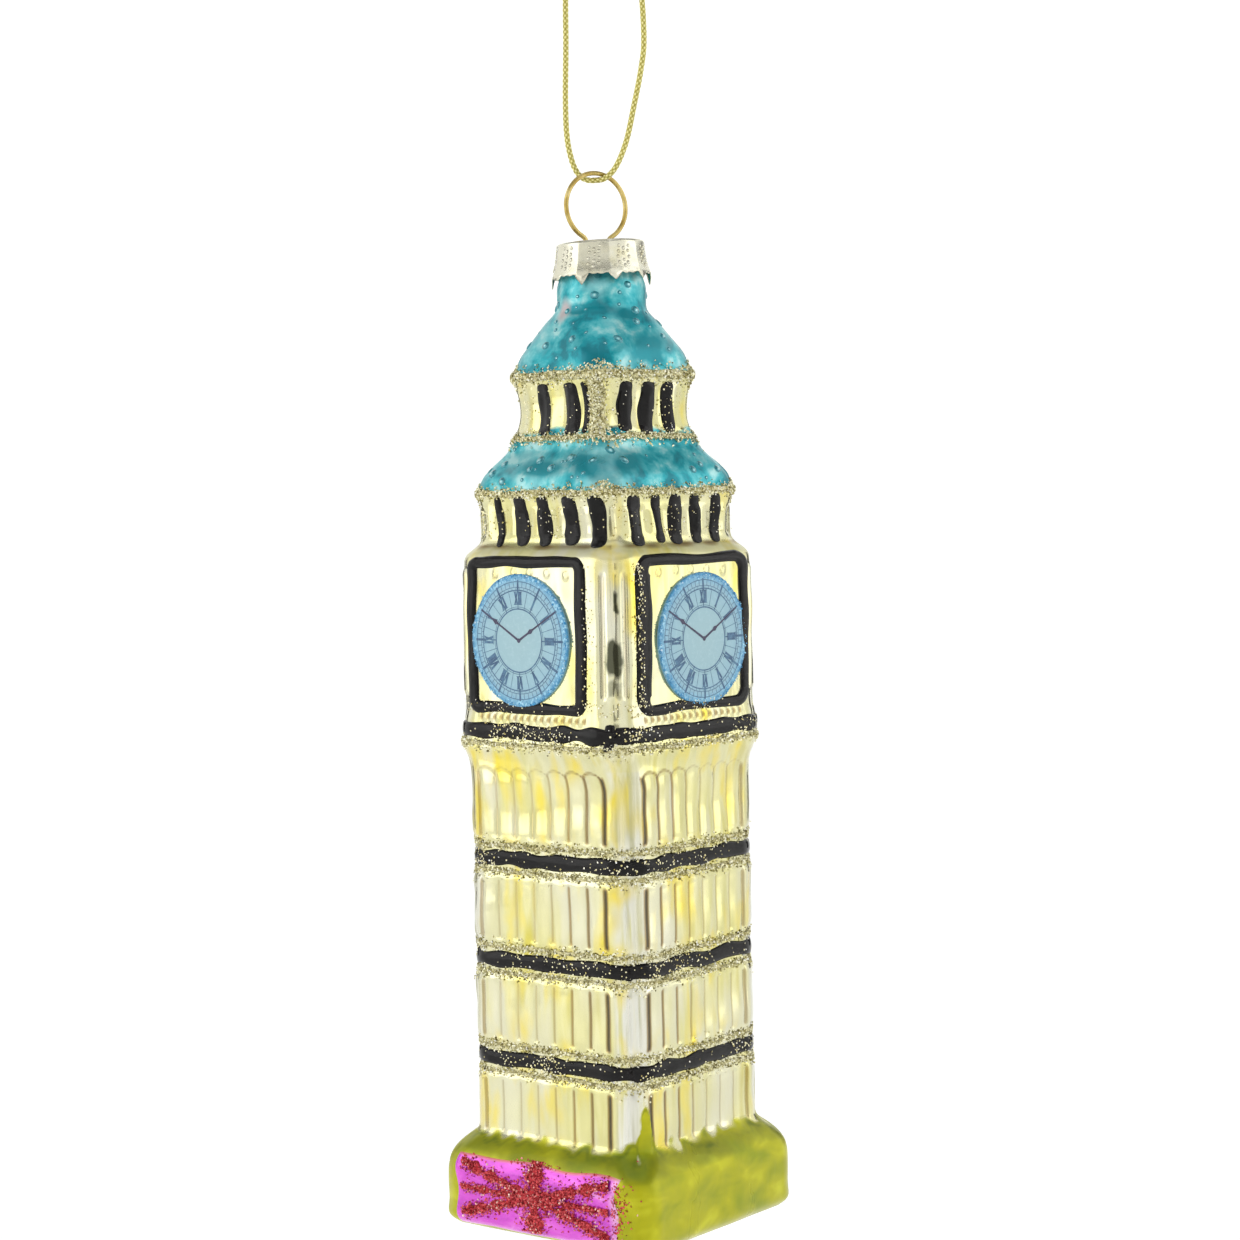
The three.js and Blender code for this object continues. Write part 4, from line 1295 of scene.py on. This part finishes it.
def make_drops():
    """Round beads of lacquer standing on the two roofs."""
    parts = Parts()
    turns = full_turn(20)
    rings = np.array([0.02, 0.35, 0.6, 0.8, 0.92, 1.0])[:, None]
    roofs = ((EAVE[1] + 0.8, LANTERN_FOOT[0] - 0.6), (ROOF_EDGE[1] + 1.0, NECK_TOP - 5.5))
    for number in range(120):
        level = random.uniform(*roofs[number % 2])
        reach = reach_at(level)
        side, s = random.integers(0, 4), random.uniform(-reach, reach) * 0.95
        radius = random.uniform(0.22, 0.36) if number % 5 < 3 else random.uniform(0.50, 0.72)
        spread = radius * rings
        points = place(side, s + spread * np.cos(turns), level + spread * np.sin(turns) * 0.8,
                       -0.03 + radius * 0.42 * np.sqrt(1 - rings ** 2 * 0.98))
        shape = points.shape[:2]
        parts.add(points, disc_faces(*shape), ring=np.broadcast_to(rings, shape))
    parts.make("lacquer_drops", DROP, "glass", "lacquered_glass")


# ---------------------------------------------------------------- cap

CAP_TOP = levels("metal_cap")[1]
CAP_FACETS = 9
CAP_TILT = math.tan(math.radians(2.4))
CAP_COLUMNS = 432
CAP_TOP_RADIUS = 5.75
CAP_SKIRT = 4.6
CAP_DROPS = (0, 0.06, 0.3, 1.2, 2.6, 3.6, CAP_SKIRT)
CAP_RADII = (CAP_TOP_RADIUS, 5.95, 6.2, 6.27, 6.45, 6.72, 7.05)
CAP_THICKNESS = 0.16

# The wire's two holes lie on the line of the ring's plane, which stands RING_ANGLE from the
# X axis: each HOLE_REACH from their middle, and that middle HOLES_ASIDE from the cap's axis.
RING_ANGLE = math.radians(67)
HOLE_REACH = 1.8
HOLES_ASIDE = 0.4


def cap_radius(angle, drop):
    """Outside of the cap at a depth under its top: nine flats that flare towards the teeth."""
    radius = np.interp(drop, CAP_DROPS, CAP_RADII)
    from_flat = np.mod(angle * CAP_FACETS / (2 * math.pi), 1) * 2 - 1
    flat = math.cos(math.pi / CAP_FACETS) / np.cos(from_flat * math.pi / CAP_FACETS)
    return radius * (1 - 0.62 * (1 - flat) * smooth_step(drop, 0.1, 1.0))


def cap_point(radius, angle, drop):
    """Point in metres on the cap, which sits a little askew on the neck."""
    x, y = radius * np.cos(angle), radius * np.sin(angle)
    aside = x * math.cos(math.radians(VIEW_AZIMUTH)) + y * math.sin(math.radians(VIEW_AZIMUTH))
    height = UNDERSIDE / MM + CAP_TOP - drop + CAP_TILT * aside
    return np.stack(np.broadcast_arrays(x, y, height), axis=-1) * MM


def make_cap():
    """Pressed cap with nine flats and a flared skirt cut into uneven points."""
    turns = full_turn(CAP_COLUMNS)
    facet = turns * CAP_FACETS / (2 * math.pi)
    tooth = np.abs(np.mod(facet + 0.35, 1) * 2 - 1)
    nick = np.abs(np.mod(facet * 4, 1) * 2 - 1)
    reach = 1.15 * np.clip((0.42 - tooth) / 0.42, 0, 1)
    reach = reach * (1 + 0.25 * line_waves(turns * 6.5, 6.0, 142))
    edge = CAP_SKIRT + reach + 0.16 * nick + 0.08 * line_waves(turns * 6.5, 1.6, 141)
    skirt = cap_radius(turns, CAP_SKIRT) + 0.05 * reach
    rows = [cap_point(CAP_TOP_RADIUS * share, turns, 0.02 * share)
            for share in (0.01, 0.3, 0.6, 0.85, 0.97)]
    lid = len(rows)
    rows += [cap_point(cap_radius(turns, drop), turns, drop)
             for drop in (0.0, 0.05, 0.12, 0.25, 0.5, 1.0, 1.6, 2.2, 2.8, 3.4, 4.0, 4.4)]
    rows.append(cap_point(skirt, turns, edge))
    outside = len(rows)
    rows.append(cap_point(skirt - CAP_THICKNESS, turns, edge))
    rows += [cap_point(cap_radius(turns, drop) - 1.5 * CAP_THICKNESS, turns, drop)
             for drop in (4.0, 2.6, 1.2, 0.4)]
    rows += [cap_point(CAP_TOP_RADIUS * share, turns, 0.3) for share in (0.9, 0.5, 0.01)]
    groove_shade, dull = np.zeros((2, len(rows), CAP_COLUMNS))
    # Painted shade: the whole inside of the cap is darker.
    groove_shade[outside:] = 1
    dull[lid:] = np.mod(np.floor(facet), 2)
    faces = [face[::-1] for face in grid_faces(len(rows), CAP_COLUMNS, around=True)]
    make_piece("pressed_cap", np.stack(rows), faces, CAP_METAL, "cap",
               ["metal_cap"], {"groove_shade": groove_shade, "dull": dull})


def make_cap_dots():
    """Embossed dots in uneven columns on the flats, and eyelets round the wire's two holes."""
    parts = Parts()
    turns = full_turn(14)
    rings = np.array([0.03, 0.3, 0.52, 0.66, 0.8, 1.0])[:, None]
    dome = np.sqrt(np.clip(1 - (rings / 0.68) ** 2, 0, 1))
    shape = len(rings), len(turns)
    shadow = np.broadcast_to(smooth_step(rings, 0.5, 0.68), shape)
    for facet in range(CAP_FACETS):
        for column in (-1, 0, 1):
            for row in range(4):
                angle = (facet + 0.5) * 2 * math.pi / CAP_FACETS + column * 0.12
                angle += random.normal(0, 0.014)
                drop = 0.95 + row * 0.78 + 0.39 * (column == 0) + random.normal(0, 0.05)
                size = random.uniform(0.27, 0.34)
                turned = angle + size * rings * np.cos(turns) / 6.3
                level = drop + size * rings * np.sin(turns)
                radius = cap_radius(turned, level) + 0.14 * dome + 0.02 - 0.05 * (rings == 1)
                parts.add(cap_point(radius, turned, level), grid_faces(*shape, around=True),
                          groove_shade=shadow)
    for side in (-1, 1):
        outer = np.linspace(0, math.pi, 7)[:, None]
        radius = 0.62 - 0.18 * np.cos(outer)
        from_axis = side * HOLE_REACH - HOLES_ASIDE
        x = from_axis * math.cos(RING_ANGLE) + radius * np.cos(turns)
        y = from_axis * math.sin(RING_ANGLE) + radius * np.sin(turns)
        eyelet = cap_point(np.hypot(x, y), np.arctan2(y, x), 0.03 - 0.14 * np.sin(outer))
        parts.add(eyelet, grid_faces(*eyelet.shape[:2], around=True), groove_shade=0)
    parts.make("cap_embossing", CAP_METAL, "cap", "cap_metal")


# ---------------------------------------------------------------- wire and cord

def smooth_path(points, steps):
    """Points at even steps on a curve through the given ones."""
    points = np.asarray(points, dtype=float)
    ends = np.concatenate([[2 * points[0] - points[1]], points, [2 * points[-1] - points[-2]]])
    t = np.linspace(0, 1, 40, endpoint=False)[:, None]
    pieces = []
    for a, b, c, d in zip(ends, ends[1:], ends[2:], ends[3:]):
        pieces.append(0.5 * (2 * b + (c - a) * t + (2 * a - 5 * b + 4 * c - d) * t ** 2
                             + (3 * b - a - 3 * c + d) * t ** 3))
    dense = np.concatenate(pieces + [points[-1:]])
    run = np.concatenate([[0], np.cumsum(np.linalg.norm(np.diff(dense, axis=0), axis=1))])
    even = np.linspace(0, run[-1], steps)
    return np.stack([np.interp(even, run, dense[:, i]) for i in range(3)], axis=-1), run[-1]


def sweep(path, profile):
    """Rings of points round a path; profile(angle, run) gives the radius."""
    tangents = np.gradient(path, axis=0)
    tangents /= np.linalg.norm(tangents, axis=1, keepdims=True)
    normal = np.cross(tangents[0], NOT_ALONG)
    rings, run = [], 0.0
    for i, tangent in enumerate(tangents):
        normal = normal - tangent * normal.dot(tangent)
        normal /= np.linalg.norm(normal)
        other = np.cross(tangent, normal)
        if i:
            run += np.linalg.norm(path[i] - path[i - 1])
        radius = profile(SWEEP_ANGLES, run)
        rings.append(path[i] + (normal[None] * np.cos(SWEEP_ANGLES)[:, None]
                                + other[None] * np.sin(SWEEP_ANGLES)[:, None]) * radius[:, None])
    return np.stack(rings)


SWEEP_SIDES = 24
SWEEP_ANGLES = full_turn(SWEEP_SIDES)
NOT_ALONG = (0.3, 0.9, 0.2)  # A direction that no swept path starts along.
WIRE_RADIUS = 0.325 * MM
CORD_RADIUS = 0.4 * MM
CORD_PITCH = 1.5 * MM
CORD_ANGLE = math.radians(20)
KNOT_TURNS = 3.2
KNOT_HEIGHT = 2.8
RING_OPENING = math.radians(38)
# One leg of the wire from its foot up: out from the middle, and above the cap's top.
LEG = ((4.05, -16.0), (4.2, -14.2), (3.9, -11.0), (3.1, -8.0), (2.2, -5.8),
       (HOLE_REACH, -4.4), (HOLE_REACH, -2.0), (HOLE_REACH, -0.2), (1.95, 0.55))

# Route of the cord: across the loop, out of its plane, up.
CORD_ROUTE = (
    (-0.42, 0, 2.6), (-0.55, 0, 1), (-1.1, 0.1, -2), (-2.4, 0.3, -7.5), (-3.6, 0.4, -14.5),
    (-4.3, 0.3, -22), (-4.4, 0.1, -30), (-4.6, 0, -37.5), (-4.5, 0, -42.5), (-3.9, 0, -45.8),
    (-3, 0, -47.8), (-1.8, 0, -48.7), (-0.4, 0, -48.85), (1, 0, -48.6), (2.6, 0, -47.1),
    (4.2, -0.1, -43.7), (5.5, -0.2, -38.7), (6.6, -0.3, -34), (7.1, -0.3, -30),
    (6.8, -0.3, -23), (5.6, -0.2, -15), (3.6, -0.1, -8), (1.6, 0, -2.5), (0.55, 0, 1),
    (0.42, 0, 2.6),
)


def braid_share(angle, run):
    """1 on the crests of two sets of strands that cross and 0 in the gaps between them."""
    turn = 2 * math.pi * run / CORD_PITCH
    return np.abs(np.cos(2 * angle + turn) * np.cos(2 * angle - turn)) ** 0.6


def cord_profile(angle, run):
    return CORD_RADIUS * (0.82 + 0.24 * braid_share(angle, run))


def round_wire(angle, run):
    return np.full_like(angle, WIRE_RADIUS)


def cord_plane(points):
    """Points in millimetres in the loop's own plane, as metres in the frame."""
    x, y, z = np.asarray(points, dtype=float).T * MM
    cos, sin = math.cos(CORD_ANGLE), math.sin(CORD_ANGLE)
    return np.stack([x * cos - y * sin, x * sin + y * cos, z], axis=-1)


def add_cord(parts, route, steps):
    """A braided cord along a route; returns its middle line and that line's length."""
    path, length = smooth_path(route, steps)
    rings = sweep(path, cord_profile)
    steps_along = np.linalg.norm(np.diff(path, axis=0), axis=1)
    run = np.concatenate([[0], np.cumsum(steps_along)])[:, None]
    parts.add(rings, tube_faces(steps, SWEEP_SIDES), ply=braid_share(SWEEP_ANGLES[None, :], run))
    return path, length


def make_cord():
    parts = Parts()
    route = cord_plane(CORD_ROUTE)
    path, length = add_cord(parts, route, 1400)
    loop = parts.make("hanging_cord", CORD, "loop", "gold_cord", ["cord_loop"])


def make_knot():
    """Both strands wound round by the cord itself, with two short ends above."""
    low, high = (corner.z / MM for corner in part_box("cord_knot"))
    parts = Parts()
    foot = low + 0.4
    angle = np.linspace(0, KNOT_TURNS * 2 * math.pi, 60)
    radius = 0.98 + 0.06 * np.sin(angle * 1.7)
    wraps = np.stack([radius * np.cos(angle), radius * np.sin(angle),
                      foot + 0.2 + KNOT_HEIGHT * angle / angle[-1]], axis=-1)
    add_cord(parts, wraps * MM, 420)
    for side in (-1, 1):
        tail = [(side * 0.5, 0, foot), (side * 0.45, 0, foot + 2), (side * 0.6, 0.1, foot + 3.5),
                (side * 1.5, 0.2, high - 2.2), (side * 2.5, 0.1, high - 0.4)]
        add_cord(parts, cord_plane(tail), 120)
    parts.make("cord_knot_wraps", CORD, "knot", "gold_cord", ["cord_knot"])


def make_hanger():
    """The ring and its two spring legs, bent from one length of wire."""
    ring_top = levels("wire_hanger")[1] - CAP_TOP
    centre = ring_top / 2 - 0.05  # Height of the ring's middle above the cap's top.
    radius = ring_top - centre - WIRE_RADIUS / MM
    points = [(-x, z) for x, z in LEG]
    for turn in np.linspace(0, 1, 24) * 2 * (math.pi - RING_OPENING):
        angle = -math.pi / 2 - RING_OPENING - turn
        points.append((radius * math.cos(angle), centre + radius * math.sin(angle)))
    points += LEG[::-1]
    x, z = np.array(points).T
    x = x - HOLES_ASIDE * smooth_step(z, -8.0, -4.5) - 0.02 * np.clip(z, 0, None)
    height = UNDERSIDE / MM + CAP_TOP + z
    route = np.stack([x * math.cos(RING_ANGLE), x * math.sin(RING_ANGLE), height], axis=-1) * MM
    path, _ = smooth_path(route, 420)
    rings = sweep(path, round_wire)
    make_piece("ring_and_legs", rings, tube_faces(*rings.shape[:2]), WIRE, "hanger",
               ["wire_hanger"])


# ---------------------------------------------------------------- stage

FLOOR = UNDERSIDE - 0.12


def make_stage():
    """A pale floor that sweeps up into a wall all round."""
    turns = full_turn(96)
    rows = ((0.001, 0.0), (0.4, 0.0), (1.2, 0.0), (1.8, 0.0), (2.2, 0.06), (2.5, 0.22),
            (2.7, 0.5), (2.75, 1.0), (2.75, 2.2))
    points = [np.stack([r * np.cos(turns), r * np.sin(turns), FLOOR + z + 0 * turns], axis=-1)
              for r, z in rows]
    faces = grid_faces(len(rows), 96, around=True)
    mesh = add_mesh("backdrop", np.concatenate(points).tolist(), faces, backdrop_paper())
    add_object("backdrop", mesh)


def make_card(name, azimuth, distance, width, material):
    """A tall sheet that only shows as a dim reflection in the lacquer."""
    centre, aside = compass(azimuth) * distance, compass(azimuth + 90) * width / 2
    low, high = Vector((0, 0, UNDERSIDE - 0.05)), Vector((0, 0, UNDERSIDE + 0.30))
    corners = [centre - aside + low, centre + aside + low,
               centre + aside + high, centre - aside + high]
    card = add_object(name, add_mesh(name, corners, [[0, 1, 2, 3]], material, smooth=False))
    card.visible_camera = False
    card.visible_shadow = False


def make_cards():
    dark = card_paper("dark_paper", "1E1C18", "2C2A25")
    grey = card_paper("grey_paper", "8C8A86", "9A9894")
    make_card("card_behind_left", VIEW_AZIMUTH + 180 - 38, 0.75, 0.22, dark)
    make_card("card_behind_right", VIEW_AZIMUTH + 180 + 38, 0.75, 0.22, dark)
    make_card("card_by_camera", VIEW_AZIMUTH + 8, 0.80, 0.24, grey)


def soft_light(name, azimuth, elevation, distance, size, power):
    """An area light that looks at the middle of the tower."""
    back = compass(azimuth, elevation)
    data = bpy.data.lights.new(name, "AREA")
    data.shape = "RECTANGLE"
    data.size, data.size_y = size
    data.energy = power
    light = add_object(name, data)
    light.visible_camera = False
    light.location = Vector((0, 0, UNDERSIDE + 0.07)) + back * distance
    light.rotation_mode = "QUATERNION"
    light.rotation_quaternion = back.to_track_quat("Z", "Y")


def make_lights():
    world = bpy.data.worlds.new("studio")
    bpy.context.scene.world = world
    world.use_nodes = True
    background = world.node_tree.nodes["Background"]
    background.inputs[0].default_value = colour("F3F5F7")
    background.inputs[1].default_value = 0.42
    soft_light("key_left", VIEW_AZIMUTH - 75, 22, 1.1, (0.7, 1.155), 2.5)
    soft_light("fill_right", VIEW_AZIMUTH + 85, 14, 1.2, (0.7, 1.2), 2.0)
    soft_light("top", VIEW_AZIMUTH, 82, 1.1, (1.0, 1.0), 2.0)
    bpy.context.scene.view_settings.view_transform = "Standard"


# ---------------------------------------------------------------- the ornament

make_cord()
make_knot()
make_hanger()
make_cap()
make_cap_dots()
make_glass()
make_bands()
make_band_joint()
make_frames()
make_stripes()
make_gold_glitter()
for side_number, side_name in enumerate(SIDES):
    make_dial(side_number, side_name)
    make_print(side_number, side_name)
    make_hands(side_number, side_name)
make_rim_glitter()
make_panel()
make_flag()
make_drops()
make_stage()
make_cards()
make_lights()
